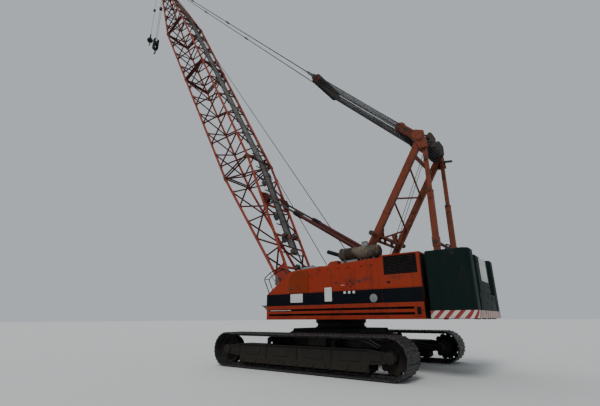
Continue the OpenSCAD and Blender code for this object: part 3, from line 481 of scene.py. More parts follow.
def muddy(name, colour):
    """Track steel with clods of mud."""
    n = Nodes(name)
    fine = n.noise(16.0, 6, 0.7)
    broad = n.ramp(n.noise(1.9, 6, 0.65), 0.38, 0.66)
    tone = n.mix(n.mul(broad, 0.14), n.mix(fine, colour, shade(colour, 2.2, 0.01)), RUST)
    clods = n.ramp(n.noise(5.0, 8, 0.75, (1, 1, 1), (4, 2, 8)), 0.5, 0.62)
    mud = n.mul(clods, 0.6)
    n.bump(n.plus(n.mul(fine, 0.3), mud), 0.7, 0.012, 0.006)
    tone = n.mix(mud, tone, n.mix(fine, MUD, (0.034, 0.029, 0.023)))
    return n.done(tone, n.plus(0.5, n.mul(clods, 0.45)), Metallic=0.35)


def chevrons(name):
    """Red and white stripes that lean towards the middle of the tail and go on along its sides."""
    n = Nodes(name)
    run = n.plus(n.plus(n.math("ABSOLUTE", n.along("Y"), 0.0), n.along("X")), 20.3)
    turns = n.math("FRACT", n.math("DIVIDE", n.plus(run, n.along("Z")), 0.265), 0.0)
    grime = n.ramp(n.noise(2.6, 6, 0.6), 0.42, 0.75)
    chips = n.ramp(n.noise(22, 4, 0.6), 0.66, 0.7)
    tone = n.mix(n.math("GREATER_THAN", turns, 0.5), (0.24, 0.012, 0.014), (0.5, 0.47, 0.4))
    tone = n.mix(n.mul(grime, 0.5), tone, (0.14, 0.1, 0.075))
    n.bump(chips, 0.25, 0.002)
    return n.done(n.mix(n.mul(chips, 0.8), tone, RUST), n.plus(n.mul(grime, 0.3), 0.42))


ORANGE = paint("orange_paint", (0.25, 0.017, 0.001), (0.27, 0.031, 0.005), 0.6, 0.5, 0.6, 0.5, gloss=0.25)
BOOM_RED = paint("boom_paint", (0.23, 0.026, 0.011), (0.235, 0.052, 0.032), 0.7, 0.65, 0.7, 0.6, 0, 0.2)
LACING_RED = paint("lacing_paint", (0.06, 0.011, 0.008), (0.085, 0.022, 0.016), 0.7, 0.7, 0.6, 0.6, 0, 0.2)
# Gantry paint is darker than the lit orange of its posts, set towards the dark brown of its shaded front
# legs: painted shade in its base colour.
GANTRY = paint("gantry_paint", (0.155, 0.03, 0.01), (0.15, 0.042, 0.02), 0.75, 0.8, 0.8, 0.55, gloss=0.25)
WEIGHT = paint("weight_paint", (0.002, 0.009, 0.008), (0.004, 0.013, 0.011), 0.4, 0.22, 0.5, 0.55, gloss=0.1)
NAVY = paint("stripe_navy", (0.002, 0.003, 0.006), (0.005, 0.007, 0.009), 0.4, 0.35, 0.5, 0.6, 0, 0.08)
BLACK = paint("black_paint", (0.005, 0.005, 0.005), (0.011, 0.0105, 0.01), 0.3, 0.3, 0.5, 0.65, gloss=0.15)
UNDER = paint("undercarriage_paint", (0.01, 0.01, 0.01), (0.016, 0.015, 0.014), 0.5, 0.35, 0.6, 0.7,
              gloss=0.15, mud=0.7)
GREY = paint("grey_paint", (0.17, 0.18, 0.18), (0.2425, 0.255, 0.255), 0.5, 0.35, 0.5, 0.5)
WHITE = paint("white_paint_and_mirror_reflection", (0.5, 0.48, 0.43), (0.38, 0.36, 0.32), 0.5, 0.3, 0.3, 0.5, 0)
SIGN = paint("sign_white", (0.55, 0.55, 0.53), (0.44, 0.44, 0.42), 0.3, 0.15, 0.3, 0.45, 0)
DULL = paint("dull_panel_paint", (0.19, 0.023, 0.004), (0.18, 0.033, 0.01), 0.7, 0.5, 0.6, 0.6, gloss=0.15)
STEEL = metal("worn_steel", (0.03, 0.028, 0.027), 0.4, 0.6, 0.3, 22.0, 0.006)
BRIGHT = metal("bright_steel", (0.42, 0.42, 0.42), 0.15, 0.3, 1.0)
RIGGING = metal("rigging_steel", (0.012, 0.011, 0.011), 0.4, 0.65, 0.1)
GALVANISED = metal("galvanised", (0.115, 0.115, 0.11), 0.4, 0.65, 0.4)
ROPE = metal("wire_rope", (0.006, 0.006, 0.006), 0.2, 0.8, 0.0, 90.0)
MUFFLER = lagging("muffler_lagging")
SHOE = muddy("shoe_steel", (0.018, 0.019, 0.019))
CHAIN = muddy("chain_steel", (0.01, 0.01, 0.01))
CHEVRON = chevrons("chevron_paint")
RUBBER = plain("rubber", (0.02, 0.02, 0.02), 0.7)
PLASTIC = plain("black_plastic", (0.03, 0.03, 0.03), 0.5)
FABRIC = plain("seat_cloth", (0.035, 0.036, 0.04), 0.9, 240.0, 0.5, 0.2)
DARK = plain("dark_inside", (0.008, 0.008, 0.008), 0.9, 20.0, 0.1, 0.1)
GLASS = glass("cab_glass", (0.055, 0.085, 0.13))
LAMP = glass("lamp_glass", (0.8, 0.8, 0.75))

# Tracks: wheel centres, the plates' radius round them and the number of shoes
WHEEL_X, WHEEL_Z, TRACK_Y = 3.04, 0.56, 2.5
PLATE_R, SHOES = 0.532, 58
PITCH = 2 * (2 * WHEEL_X + pi * PLATE_R) / SHOES
SHOE_HALF = 0.45


def on_track(t):
    """Matrix at distance t along the track, its X along the run and its Z outwards."""
    run, turn = 2 * WHEEL_X, pi * PLATE_R
    if t < run:
        x, out = WHEEL_X - t, -90
    elif t < run + turn:
        x, out = -WHEEL_X, -90 - degrees((t - run) / PLATE_R)
    elif t < 2 * run + turn:
        x, out = t - WHEEL_X - run - turn, 90
    else:
        x, out = WHEEL_X, 90 - degrees((t - 2 * run - turn) / PLATE_R)
    n, across = Vector((cos(radians(out)), 0, sin(radians(out)))), Vector((0, 1, 0))
    m = Matrix((across.cross(n), across, n)).transposed().to_4x4()
    m.translation = Vector((x, 0, WHEEL_Z)) + PLATE_R * n
    return m


shoe = Mesh()
shoe.prism([(-0.49 * PITCH, -SHOE_HALF), (0.44 * PITCH, -SHOE_HALF), (0.49 * PITCH, -SHOE_HALF + 0.03),
            (0.49 * PITCH, SHOE_HALF - 0.03), (0.44 * PITCH, SHOE_HALF), (-0.49 * PITCH, SHOE_HALF)],
           -0.026, 0, "z", 0, 0.004)
for x in (-0.22 * PITCH, 0.22 * PITCH):
    shoe.plate(taper(x, -0.002, 0.028, 0.032, 0.016), 0, SHOE_HALF - 0.012, 0, 0.003)
for y in (-0.38, -0.22, 0.22, 0.38):
    shoe.bolt(0, y, 0, "+z", 0.017, 0.012, 1)
LINK = ((-0.58, -0.09), (-0.3, -0.096), (0.3, -0.096), (0.42, -0.09), (0.42, -0.045), (0.3, -0.024),
        (-0.45, -0.024), (-0.58, -0.045))
for s in BOTH:
    shoe.plate([(PITCH * t, z) for t, z in LINK], s * 0.115, 0.022, 1)
shoe.pin(-PITCH / 2, 0, -0.066, 0.15, 0.022, 10, 1)
for side, word in SIDES:
    belt = Mesh()
    for i in range(SHOES):
        belt.moved(shoe, shift(0, side * TRACK_Y, 0) @ on_track((i + 0.5) * PITCH))
    belt.make("track_shoes_" + word, "undercarriage", [SHOE, CHAIN], "worn_steel", ["track_" + word], 30)

# Undercarriage details
for side, word in SIDES:
    part = Mesh()
    face = side * (TRACK_Y + 0.3)
    for i in range(9):
        x = -2.299 + i * 4.598 / 8
        for y, s in ((face, side), (side * (TRACK_Y - 0.3), -side)):
            part.disc([(0.062, 0), (0.062, s * 0.016), (0.045, s * 0.03)], (x, y, 0.239), "y", 18)
        for dx in (-0.1, 0.1):
            part.bolt(x + dx, face, 0.3, side, 0.02, 0.018)
    for x in (-1.86, -0.62, 0.62, 1.86):
        part.panel(pad(x, 0.565, 0.34, 0.125, 0.06), face, 0.012, 0, 0.004)
        for dx in (-0.28, 0.28):
            for z in (0.49, 0.64):
                part.bolt(x + dx, face + side * 0.012, z, side, 0.014, 0.01)
    for x in (-2.46, -1.24, 0, 1.24, 2.46):
        part.block(x - 0.025, x + 0.025, face, face + side * 0.03, 0.38, 0.75, 0, 0.006)
    part.block(-2.44, 2.44, face, face + side * 0.035, 0.735, 0.765, 0, 0.006)
    for x in (-WHEEL_X, WHEEL_X):
        part.disc([(0.15, 0), (0.15, side * 0.035), (0.11, side * 0.055)], (x, face, WHEEL_Z), "y", 28)
        part.bolts(x, face + side * 0.035, WHEEL_Z, side, 0.125, 8, 0.014, 0.012, 1)
    for x in (-2.6, 2.6):
        part.panel(pad(x, 0.56, 0.2, 0.09, 0.05), face, 0.02, 0, 0.005)
    part.make("track_frame_details_" + word, "undercarriage", [UNDER, STEEL], "undercarriage_paint")

    part = Mesh()
    part.bolts(-WHEEL_X, side * 2.08, WHEEL_Z, -side, 0.26, 12, 0.018, 0.016, 1)
    hub = ((0.19, 0), (0.19, -0.05), (0.13, -0.09), (0.13, -0.3), (0.1, -0.33))
    part.disc([(r, side * t) for r, t in hub], (-WHEEL_X, side * 1.9, WHEEL_Z), "y", 28)
    for dz in (-0.05, 0.05):
        start = Vector((-WHEEL_X + 0.1, side * 1.65, WHEEL_Z + dz))
        part.tube([start, start + Vector((0.25, 0, 0.02)), (-2.3, side * 1.55, 0.66 + dz),
                   (-1.8, side * 1.35, 0.86 + dz), (-1.34, side * 1.1, 0.92 + dz)], 0.021, 8, 2)
    part.make("travel_motor_" + word, "undercarriage", [UNDER, STEEL, RUBBER], "undercarriage_paint")

part = Mesh()
for s in BOTH:
    part.box(0, s * 1.15, 1.18, 1.36, 0.02, 0.02, 0, 0.006)
    for x in (-1.03, 1.03):
        for dx in (-0.31, 0.31):
            part.prism([(s * 1.15, 1.16), (s * 1.75, 0.98), (s * 1.15, 0.98)], x + dx - 0.02, x + dx + 0.02,
                       "x", 0, 0.004)
        for k in range(7):
            part.bolt(x - 0.27 + 0.09 * k, s * 2.15, 0.98, "+z", 0.018, 0.018, 1)
        part.box(x, s * 2.12, 0.75, 0.335, 0.03, 0.25, 0, 0.008)
    part.prism(pad(s * 0.55, 0.87, 0.35, 0.21, 0.05), -1.365, -1.35, "x", 0, 0.004)
for k in range(36):
    a = 2 * pi * k / 36
    part.bolt(0.895 * cos(a), 0.895 * sin(a), 1.42, "-z", 0.018, 0.02, 1)
    part.bolt(0.885 * cos(a + 0.05), 0.885 * sin(a + 0.05), 1.23, "+z", 0.02, 0.025, 1)
for x, y in circle(0.86, 96):
    part.beam((x, y, 1.29), (x, y, 1.41), 0.03, 0.026, 1, (x, y, 0), 0.004)
part.ring(0.86, 0.93, 1.245, 1.285, (0, 0, 0), "z", 72)
part.make("carbody_details", "undercarriage", [UNDER, STEEL], "undercarriage_paint")

# Boom, in its own frame: X along it from the foot pin, Y across, Z its depth
PIN_X, PIN_Z = 1.5, 2.14
BOOM = shift(PIN_X, 0, PIN_Z) @ lean(radians(61))
HALF, CHORD, LACE = 0.88, 0.061, 0.04
FOOT_HALF, TIP_HALF = 0.17, 0.26
JOINTS = (0.0, 7.62, 16.76, 22.86, 30.48)
TIP = JOINTS[4]
RISE = (HALF - FOOT_HALF) / JOINTS[1]


def depth(t):
    """Half depth of the foot section at t."""
    return FOOT_HALF + RISE * t


def joint(part, x, way, pins):
    """Lugs at a section's four corners: a fork's plates, or with pins the tongues, collars and pins."""
    low, high = sorted((x + way * 0.13, x - way * 0.045))
    collar = [(CHORD, 0), (CHORD + 0.014, 0.006), (CHORD + 0.014, 0.045), (CHORD, 0.055)]
    for y, z in [(y, z) for y in (-HALF, HALF) for z in (-HALF, HALF)]:
        for off in ((0.045, -0.045) if pins else (0.015, -0.015)):
            part.plate(rounded(low, high, z - 0.07, z + 0.07, 0.044), y + off, 0.012, 2, 0.003)
        part.lathe([(r, way * t) for r, t in collar], (x + way * 0.12, y, z), "x", 14, 0, False)
        if pins:
            part.pin(x, y, z, 0.1, 0.027, 12, 3)
            for s in BOTH:
                part.disc([(0.04, s * 0.075), (0.04, s * 0.088)], (x, y, z), "y", 12, 3)


def lattice(part, s0, s1, w0, w1, d0, d1, bays, cross):
    """Four chords and round lacing between s0 and s1, as half widths w and half depths d."""
    def at(t, y, z):
        k = (t - s0) / (s1 - s0)
        return Vector((t, y * (w0 + (w1 - w0) * k), z * (d0 + (d1 - d0) * k)))

    nodes = [s0 + (s1 - s0) * k / bays for k in range(bays + 1)]
    runs = [(a, b, 1 - 2 * (k % 2)) for k, (a, b) in enumerate(zip(nodes, nodes[1:]))]
    for a, b, u in runs + [(t, t, -1) for t in (s0, s1, *cross)]:
        for w in BOTH:
            part.tube([at(a, u, w), at(b, -u, w)], LACE, 8, 1)
            part.tube([at(a, w, u), at(b, w, -u)], LACE, 8, 1)
    for y, z in [(y, z) for y in BOTH for z in BOTH]:
        part.tube([at(s0, y, z), at(s1, y, z)], CHORD, 14)
        for t in nodes:
            p = at(t, y, z) - Vector((0, y * CHORD, z * 0.02))
            low, high = max(s0 + 0.001, t - 0.085), min(s1 - 0.001, t + 0.085)
            part.plate(rect(low, high, p.z - 0.045, p.z + 0.045), p.y, 0.02)
    return at


def finish_boom(part, name, replaced):
    materials = [BOOM_RED, LACING_RED, GANTRY, STEEL, WHITE]
    part.place(BOOM).make(name, "boom", materials, "boom_paint", [replaced], 40)


part = Mesh()
START, WEB = 0.42, 1.75
lattice(part, START, JOINTS[1], HALF, HALF, depth(START), HALF, 7, (0.9,))
joint(part, JOINTS[1], -1, True)
d, w = depth(START) + 0.07, depth(WEB)
for y in (-HALF, HALF):
    part.plate([(0.66, -d - 0.02), (0.72, -d + 0.1), (0.6, 0), (0.72, d - 0.1), (0.66, d + 0.02)]
               + arc(0, 0, 0.105, 100, 260, 10), y, 0.06, 0, 0.008)
    for o in BOTH:
        part.ring(0.056, 0.09, 0, o * 0.004, (0, y + o * 0.06, 0), "y", 24, 3)
    part.plate([(0.25, -0.07), (0.62, -0.16), (0.62, 0.16), (0.25, 0.07)], y, 0.068, 0, 0.006)
    part.plate([(START, 0.07 - d), (WEB, -w), (WEB - 0.1, -w * 0.5), (WEB - 0.1, w * 0.5), (WEB, w),
                (START, d - 0.07)], y, 0.02)
    part.box(WEB - 0.115, y, 0, 0.025, 0.035, w * 0.95)
    part.box(0.97, y, 0, 0.02, 0.03, 0.26, 0, 0.003)
for x in (4.67, 5.33):
    part.box(x, 0, depth(x), 0.04, HALF, 0.04, 0, 0.006)
z = depth(5.0)
for y in (-0.77, -0.63, 0.63, 0.77):
    part.plate([(4.66, z - 0.06), (5.34, z - 0.03)] + arc(5.15, z + 0.18, 0.06, 20, 90, 4)
               + arc(4.85, z + 0.18, 0.06, 90, 160, 4), y, 0.008, 1, 0.002)
for t, z in ((1.4, 0.36), (3.0, 0.5)):
    part.box(t, 0, z, 0.05, HALF, 0.03, 0, 0.006)
    for y in (-0.35, 0.35):
        for o in (-0.07, 0.07):
            part.plate(pad(t, z + 0.11, 0.09, 0.11, 0.04), y + o, 0.008, 3, 0.002)
        part.roller(t, y, z + 0.14, 0.02, (0.085, 0.055), (0.062, 0.02), 3, 20)
        part.pin(t, y, z + 0.14, 0.085, 0.02, 10, 3)
part.box(2.26, 0, 0.29, 0.02, HALF, 0.02, 1)
for y in (-0.1, 0.1):
    part.box(2.26, y, 0.3075, 0.035, 0.02, 0.0525, 3)
part.box(2.26, 0, 0.43, 0.11, 0.15, 0.07, 3, 0.012)
part.box(2.26, 0, 0.5, 0.12, 0.16, 0.01, 3)
finish_boom(part, "boom_foot_section", "boom_base")

for name, node, a, b, bays in (("boom_long_section", "boom_insert_long", *JOINTS[1:3], 10),
                               ("boom_short_section", "boom_insert_short", *JOINTS[2:4], 7)):
    part = Mesh()
    lattice(part, a, b, HALF, HALF, HALF, HALF, bays, (a + 0.16, b - 0.16))
    joint(part, a, 1, False)
    joint(part, b, -1, True)
    finish_boom(part, name, node)

part = Mesh()
at = lattice(part, JOINTS[3], TIP - 0.9, HALF, 0.38, HALF, TIP_HALF, 9, (JOINTS[3] + 0.16,))
joint(part, JOINTS[3], 1, False)
for k in range(24):
    rung = at(JOINTS[3] + 0.4 + k * 6.12 / 23, 1, 1)
    part.pin(rung.x, 0, rung.z, min(rung.y, 0.3), 0.016, 8, 1)
HEAD = ((-1.2, -0.32), (0.2, -0.26), (1.19, -0.79), (1.19, -0.58), (0.3, 0.26), (-0.2, 0.59), (-0.42, 0.59),
        (-1.2, 0.32))
for s in BOTH:
    part.plate([(TIP + x, z) for x, z in HEAD], s * 0.38, 0.02)
    for x, z, r in ((0, 0, 0.13), (1.1, -0.7, 0.085), (-0.5, 0.26, 0.085), (-0.31, 0.5, 0.08)):
        part.ring(0.03, r, s * 0.02, s * 0.034, (TIP + x, s * 0.38, z))
        part.bolts(TIP + x, s * 0.414, z, s, r * 0.72, 6, 0.011, 0.01, 3)
for x, z, r, mat in ((0, 0, 0.07, 3), (1.1, -0.7, 0.05, 3), (-0.5, 0.26, 0.05, 3), (0.75, -0.42, 0.03, 0),
                     (-1.05, -0.25, 0.04, 0), (-0.31, 0.5, 0.045, 0)):
    part.pin(TIP + x, 0, z, 0.4, r, 18, mat)
for z in (-0.24, 0.24):
    part.box(TIP - 0.95, 0, z, 0.2, 0.36, 0.008, 0, 0.003)
finish_boom(part, "boom_top_section", "boom_top")


def sheave(part, centre, r, width, bore, mat=0, hub=1, spokes=0):
    """Grooved sheave round an axis along Y, dished, or with holes left between its spokes."""
    h, rim, hub_r = width / 2, r * 0.8, max(bore * 1.5, r * 0.28)
    half = [(rim, h * 0.7), (r * 0.97, h), (r, h), (r, h * 0.75), (r * 0.92, h * 0.22)]
    part.lathe([(u, -w) for u, w in half] + [(r * 0.9, 0)] + half[::-1], centre, "y", 36, mat)
    part.ring(bore, hub_r, -h, h, centre, "y", 28, hub)
    if not spokes:
        part.lathe([(hub_r * 0.98, -h * 0.35), (rim * 1.01, -h * 0.3), (rim * 1.01, h * 0.3),
                    (hub_r * 0.98, h * 0.35)], centre, "y", 28, mat)
    for x, z in circle(1, spokes):
        p, q = [Vector((x * d, 0, z * d)) + Vector(centre) for d in (hub_r * 0.95, rim * 1.02)]
        part.beam(p, q, width * 0.45, r * 0.2, mat, c=0.003)


def grating(part, s0, s1, z, width, m):
    """Walkway of flat bars on edge, with cross rods and a frame."""
    one = Mesh()
    for k in range(9):
        one.box((s0 + s1) / 2, width * (k / 8 - 0.5), z + 0.014, (s1 - s0) / 2, 0.0025, 0.014, 0, 0)
    steps = int((s1 - s0) / 0.11)
    for k in range(steps + 1):
        one.pin(s0 + (s1 - s0) * k / steps, 0, z + 0.022, width / 2, 0.0045, 5)
    for y in (-width / 2 - 0.004, width / 2 + 0.004):
        one.block(s0, s1, y - 0.012, y + 0.012, z - 0.012, z + 0.042, 1, 0)
    part.moved(one, m)


part = Mesh()
for k in range(4):
    sheave(part, (TIP, -0.18 + 0.12 * k, 0), 0.35, 0.07, 0.0703)
sheave(part, (TIP + 1.1, 0, -0.7), 0.25, 0.07, 0.0503)
part.place(BOOM).make("boom_head_sheaves", "boom", [RIGGING, STEEL], "rigging_steel", ["head_sheaves"])

part = Mesh()
grating(part, JOINTS[1], JOINTS[3], 0.913, 0.5, shift(0, 0, 0))
grating(part, 0.0, 4.2, 0.033, 0.5, shift(JOINTS[3], 0, HALF) @ lean(-atan((HALF - TIP_HALF) / 6.72)))
for k in range(18):
    t = JOINTS[1] + 0.45 + k * 0.897
    part.box(t, 0, 0.892, 0.035, 0.34, 0.02, 1)
    for y in (-0.25, 0.25):
        part.bolt(t, y, 0.94, "+z", 0.012, 0.01)
part.place(BOOM).make("boom_walkway", "boom", [GALVANISED, RIGGING], "walkway_steel", ["walkway"])

# Walkway, guard hoops, hoses and boxes in the foot section
part = Mesh()
grating(part, 2.5, 7.5, 0.045, 0.4, shift(0, 0, FOOT_HALF) @ lean(atan(RISE)))
for t in (3.7, 4.35, 5.0, 5.65, 6.4, 7.15):
    hoop = ((-0.25, -0.03), (-0.25, 0.17), (-0.21, 0.21), (0.21, 0.21), (0.25, 0.17), (0.25, -0.03))
    part.tube([(t, y, depth(t) + z) for y, z in hoop], 0.016, 8, 1)
    part.box(t, 0, depth(t) - 0.025, 0.02, 0.42, 0.02, 1)
for k, y in enumerate((-0.32, -0.36, -0.4)):
    run = [1.0 + 0.33 * i for i in range(21)]
    part.tube([(t, y + 0.015 * sin(1.7 * i + k), depth(t) + 0.012) for i, t in enumerate(run)], 0.014, 8, 2)
for t, y in ((2.85, 0.34), (4.02, 0.36), (6.02, 0.34), (6.78, -0.33)):
    part.box(t, y, depth(t) + 0.01, 0.13, 0.07, 0.07, 1, 0.01)
    part.box(t, y, depth(t) + 0.0825, 0.14, 0.08, 0.0075, 2, 0.003)
part.place(BOOM).make("boom_foot_walkway", "boom", [GALVANISED, RIGGING, RUBBER], "walkway_steel")

# Gantry: head axis, the front legs' foot and top, the equaliser and the bail between them
HEAD_X, HEAD_Z = -4.0, 7.4
FOOT, LEG_TOP, EQ = Vector((-1.2, 0, 2.7)), Vector((-3.94, 0, 7.28)), Vector((0.3, 0, 11.9))
BAIL_ANGLE = atan2(EQ.z - HEAD_Z, EQ.x - HEAD_X)
BAIL_LONG = 1.05
BAIL = shift(HEAD_X, 0, HEAD_Z) @ lean(BAIL_ANGLE)
BAIL_END = BAIL @ Vector((BAIL_LONG, 0, 0))
GRID = [-0.8 + 0.2 * k for k in range(9)]
BETWEEN = [-0.9 + 0.2 * k for k in range(10)]

part = Mesh()
for k in range(8):
    sheave(part, (HEAD_X, -0.7 + 0.2 * k, HEAD_Z), 0.26, 0.06, 0.0803, 0, 1, 5)
part.make("gantry_head_sheaves", "upper", [RIGGING, STEEL], "rigging_steel", ["luffing_sheaves"])

part = Mesh()
for s in BOTH:
    y = s * 0.93
    part.plate(arc(BAIL_LONG, 0, 0.145, -80, 80, 8) + arc(0, 0, 0.145, 100, 260, 8), y, 0.02, 0, 0.005)
    for x, bore, r in ((0, 0.081, 0.125), (BAIL_LONG, 0.05, 0.105)):
        part.ring(bore, r, s * 0.95, s * 0.964, (x, 0, 0), "y", 24)
    part.bolts(BAIL_LONG, s * 0.964, 0, s, 0.085, 6, 0.011, 0.01, 2)
    for x in (0.28, 0.74):
        part.plate(pad(x, 0, 0.09, 0.075, 0.05), y, 0.024, 1, 0.003)
part.pin(BAIL_LONG, 0, 0, 0.955, 0.06, 20, 2)
part.box(0.525, 0, 0, 0.06, 0.93, 0.05, 0, 0.01)
part.box(0.43, 0, -0.12, 0.03, 0.92, 0.01)
for y in GRID:
    sheave(part, (BAIL_LONG, y, 0), 0.2, 0.06, 0.06, 1, 2)
for y in BETWEEN:
    part.ring(0.061, 0.085, -0.022, 0.022, (BAIL_LONG, y, 0), "y", 16, 2)
part.place(BAIL)
part.make("luffing_bail_frame", "upper", [GANTRY, RIGGING, STEEL], "gantry_paint", ["luffing_bail"])


def leg_point(share, y):
    p = FOOT + (LEG_TOP - FOOT) * share
    return Vector((p.x, y, p.z))


POST_X, LEG_Y = -4.1, 1.05
tube_at = leg_point(0.345, 0)
part = Mesh()
for s in BOTH:
    leg = s * LEG_Y
    for y, r in ((s * 1.1655, 0.15), (s * 1.185, 0.1)):
        part.disc([(r, y - 0.001), (r, y + s * 0.02)], (HEAD_X, 0, HEAD_Z), "y", 28)
    part.bolts(HEAD_X, s * 1.1855, HEAD_Z, s, 0.125, 8, 0.013, 0.012, 1)
    for z, r in ((5.5, 0.036), (6.6, 0.036), (3.8, 0.045), (2.35, 0.06)):
        part.pin(POST_X, leg, z, 0.105, r, 14, 1)
        for o in BOTH:
            part.disc([(r + 0.018, o * 0.098), (r + 0.018, o * 0.11)], (POST_X, leg, z), "y", 14, 1)
    for z, half in ((5.2, 0.075), (6.9, 0.055)):
        for o in BOTH:
            part.ring(0.031, 0.05, o * half, o * (half + 0.006), (POST_X, leg, z), "y", 18)
    part.box(POST_X, leg, 5.46, 0.1, 0.082, 0.04, 0, 0.01)
    part.plate(rounded(-4.23, -3.97, 2.01, 2.2, 0.04), leg, 0.13, 0, 0.01)
    for share in (0.05, 0.2, 0.3, 0.46, 0.6, 0.72, 0.84, 0.91):
        part.disc([(0.085, 0), (0.05, -s * 0.03)], leg_point(share, s * 0.972))
    for share in (0.12, 0.5, 0.95):
        part.beam(leg_point(share, leg), leg_point(share + 0.012, leg), 0.166, 0.246, c=0.008)
    part.pin(-1.2, leg, 2.72, 0.14, 0.06, 18, 1)
    part.disc([(0.1, s * 0.115), (0.1, s * 0.13)], (-1.2, leg, 2.72), "y", 20, 1)
    part.box(-3.98, s * 1.1, 7.115, 0.24, 0.012, 0.135, 0, 0.01)
    part.box(-4.0, s * 1.1, 7.175, 0.1, 0.012, 0.125, 0, 0.01)
    x, y, z = tube_at.x, s * 0.62, tube_at.z
    for o in (-0.06, 0.06):
        part.plate(taper(x, z + 0.02, z + 0.3, 0.09, 0.06), y + o, 0.008, 0, 0.003)
    sheave(part, (x, y, z + 0.25), 0.11, 0.05, 0.02, 1)
    part.pin(x, s * 1.44, z, 0.04, 0.085, 18, 1)
    part.pin(x, s * 1.14, z, 0.02, 0.1, 18)
corners = [(-0.16, -0.32), (0.15, -0.28), (0.13, 0.1), (0.02, 0.28), (-0.08, 0.26), (-0.17, 0.04)]
for y, z in ((-0.4, 7.52), (0.6, 7.44)):
    for o in (-0.05, 0.05):
        outline = fillet(corners, 0.05, 4)
        lug_plate(part, (-4.2, y + o, z), "y", 0.012, outline, circle(0.055, 16), 1)
    part.roller(-4.2, y, z, 0.04, (0.12, 0.036), (0.1, 0.014), 1, 24)
part.pin(tube_at.x, 0, tube_at.z, 1.46, 0.065, 18)
x, z = tube_at.x, tube_at.z
part.beam((x + 0.06, -0.98, z - 0.17), (x + 0.06, 0.98, z - 0.17), 0.08, 0.08, 0, (0, 0, 1))
for y in (-0.75, -0.3, 0.3, 0.75):
    part.box(x + 0.02, y, z - 0.1, 0.05, 0.008, 0.1, 0, 0.003)
part.tube([(-4.12, -1.02, 7.22), (-4.48, -1.02, 7.16)], 0.045, 14, 1)
part.tube([(-4.12, 1.0, 7.22), (-4.4, 1.0, 7.18)], 0.04, 14, 1)
part.make("gantry_details", "upper", [GANTRY, RIGGING], "gantry_paint")

# Backstops: the barrels' hinge and the way from it to the boom
STOP_A, STOP_D = Vector((-1.576369, 0, 3.718679)), Vector((0.834706, 0, 0.550697))
for s, word in SIDES:
    part = Mesh()
    part.lathe([(0.046, 0.15), (0.068, 0.15), (0.075, 0.17), (0.075, 3.38), (0.094, 3.4), (0.094, 3.84),
                (0.085, 3.89), (0.046, 3.9)], (0, 0, 0), "x", 26)
    part.ring(0.0755, 0.083, 0.5, 0.56, (0, 0, 0), "x", 26)
    part.lathe([(0.095, 3.44), (0.101, 3.45), (0.101, 3.79), (0.095, 3.8)], (0, 0, 0), "x", 26, 1)
    part.ring(0.035, 0.09, -0.05, 0.05, (0, 0, 0), "y", 26)
    part.plate([(0.06, -0.055), (0.25, -0.07), (0.25, 0.07), (0.06, 0.055)], 0, 0.048, 0, 0.006)
    for y, z in circle(0.068, 6):
        part.bolt(3.9, y, z, "+x", 0.009, 0.009, 1)
    part.place(shift(*STOP_A) @ shift(0, s * 0.7, 0) @ lean(atan2(STOP_D.z, STOP_D.x)))
    part.make("backstop_tube_" + word, "stop_barrel_" + word, [LACING_RED, BLACK], "gantry_paint",
              ["backstop_barrel_" + word])


def boom_point(s, n, y=0.0):
    return BOOM @ Vector((s, y, n))


# Pendants: rods with end fittings, joined by pairs of plates and pins
part = Mesh()
for s in BOTH:
    low, high = Vector((EQ.x, s * 1.08, EQ.z)), boom_point(TIP - 0.31, 0.5, s * 0.4303)
    length, way = (high - low).length, (high - low).normalized()
    cuts = [0.3, 9.6, 16.0, length - 0.3]
    for p, q in zip(cuts, cuts[1:]):
        part.tube([low + way * (p + 0.1), low + way * (q - 0.1)], 0.024)
        for t, sign in ((p, 1), (q, -1)):
            part.tube([low + way * (t + sign * d) for d in (0.05, 0.12, 0.3, 0.36)], 0, 10, 1,
                      radii=[0.036, 0.036, 0.033, 0.022])
    for t in cuts:
        one = Mesh()
        for o in (-0.042, 0.042):
            one.prism(pad(0, 0, 0.05, 0.16, 0.045), o - 0.009, o + 0.009, "x", 1, 0.003)
        for z in (-0.1, 0.1):
            one.tube([(-0.065, 0, z), (0.065, 0, z)], 0.022, 10, 2)
        part.moved(one, frame_along(low, high) @ shift(0, 0, t))
    for end, r, d in ((low, 0.095, 0.22), (high, 0.08, -0.22)):
        part.ring(0.03, r, -0.03, 0.03, end, "y", 22, 1)
        part.beam(end, end + way * d, 0.05, 0.07, 1)
part.make("pendant_rods", "boom", [RIGGING, STEEL, BRIGHT], "rigging_steel", ["pendants"])

part, one = Mesh(), Mesh()
for y in GRID:
    sheave(part, (EQ.x, y, EQ.z), 0.23, 0.06, 0.06, 1, 2)
part.pin(EQ.x, 0, EQ.z, 1.05, 0.075, 20, 2)
for k, y in enumerate(BETWEEN):
    half, mat = (0.02, 0) if k in (0, 9) else (0.008, 1)
    one.plate(pad(0, 0, 0.21, 0.13, 0.1), y, half, mat, 0.003)
for x in (-0.17, 0.17):
    one.pin(x, 0, 0, 0.93, 0.022, 12, 1)
part.moved(one, shift(*EQ) @ lean(BAIL_ANGLE))
for s in BOTH:
    cap = ((0.11, 0.92), (0.11, 1.0), (0.095, 1.045), (0.0, 1.05))
    part.disc([(r, s * t) for r, t in cap], (EQ.x, 0, EQ.z), "y", 24)
    part.disc([(0.05, s * 1.11), (0.05, s * 1.125)], (EQ.x, 0, EQ.z), "y", 18, 2)
part.make("equaliser_frame", "boom", [GANTRY, RIGGING, STEEL], "rigging_steel", ["equaliser"])


def rope(part, points, r, step=0.25):
    """Taut rope through points, in short pieces."""
    path = [Vector(points[0])]
    for p, q in zip(points, points[1:]):
        p, q = Vector(p), Vector(q)
        count = max(1, round((q - p).length / step))
        path += [p.lerp(q, (k + 1) / count) for k in range(count)]
    part.tube(path, r, 6)


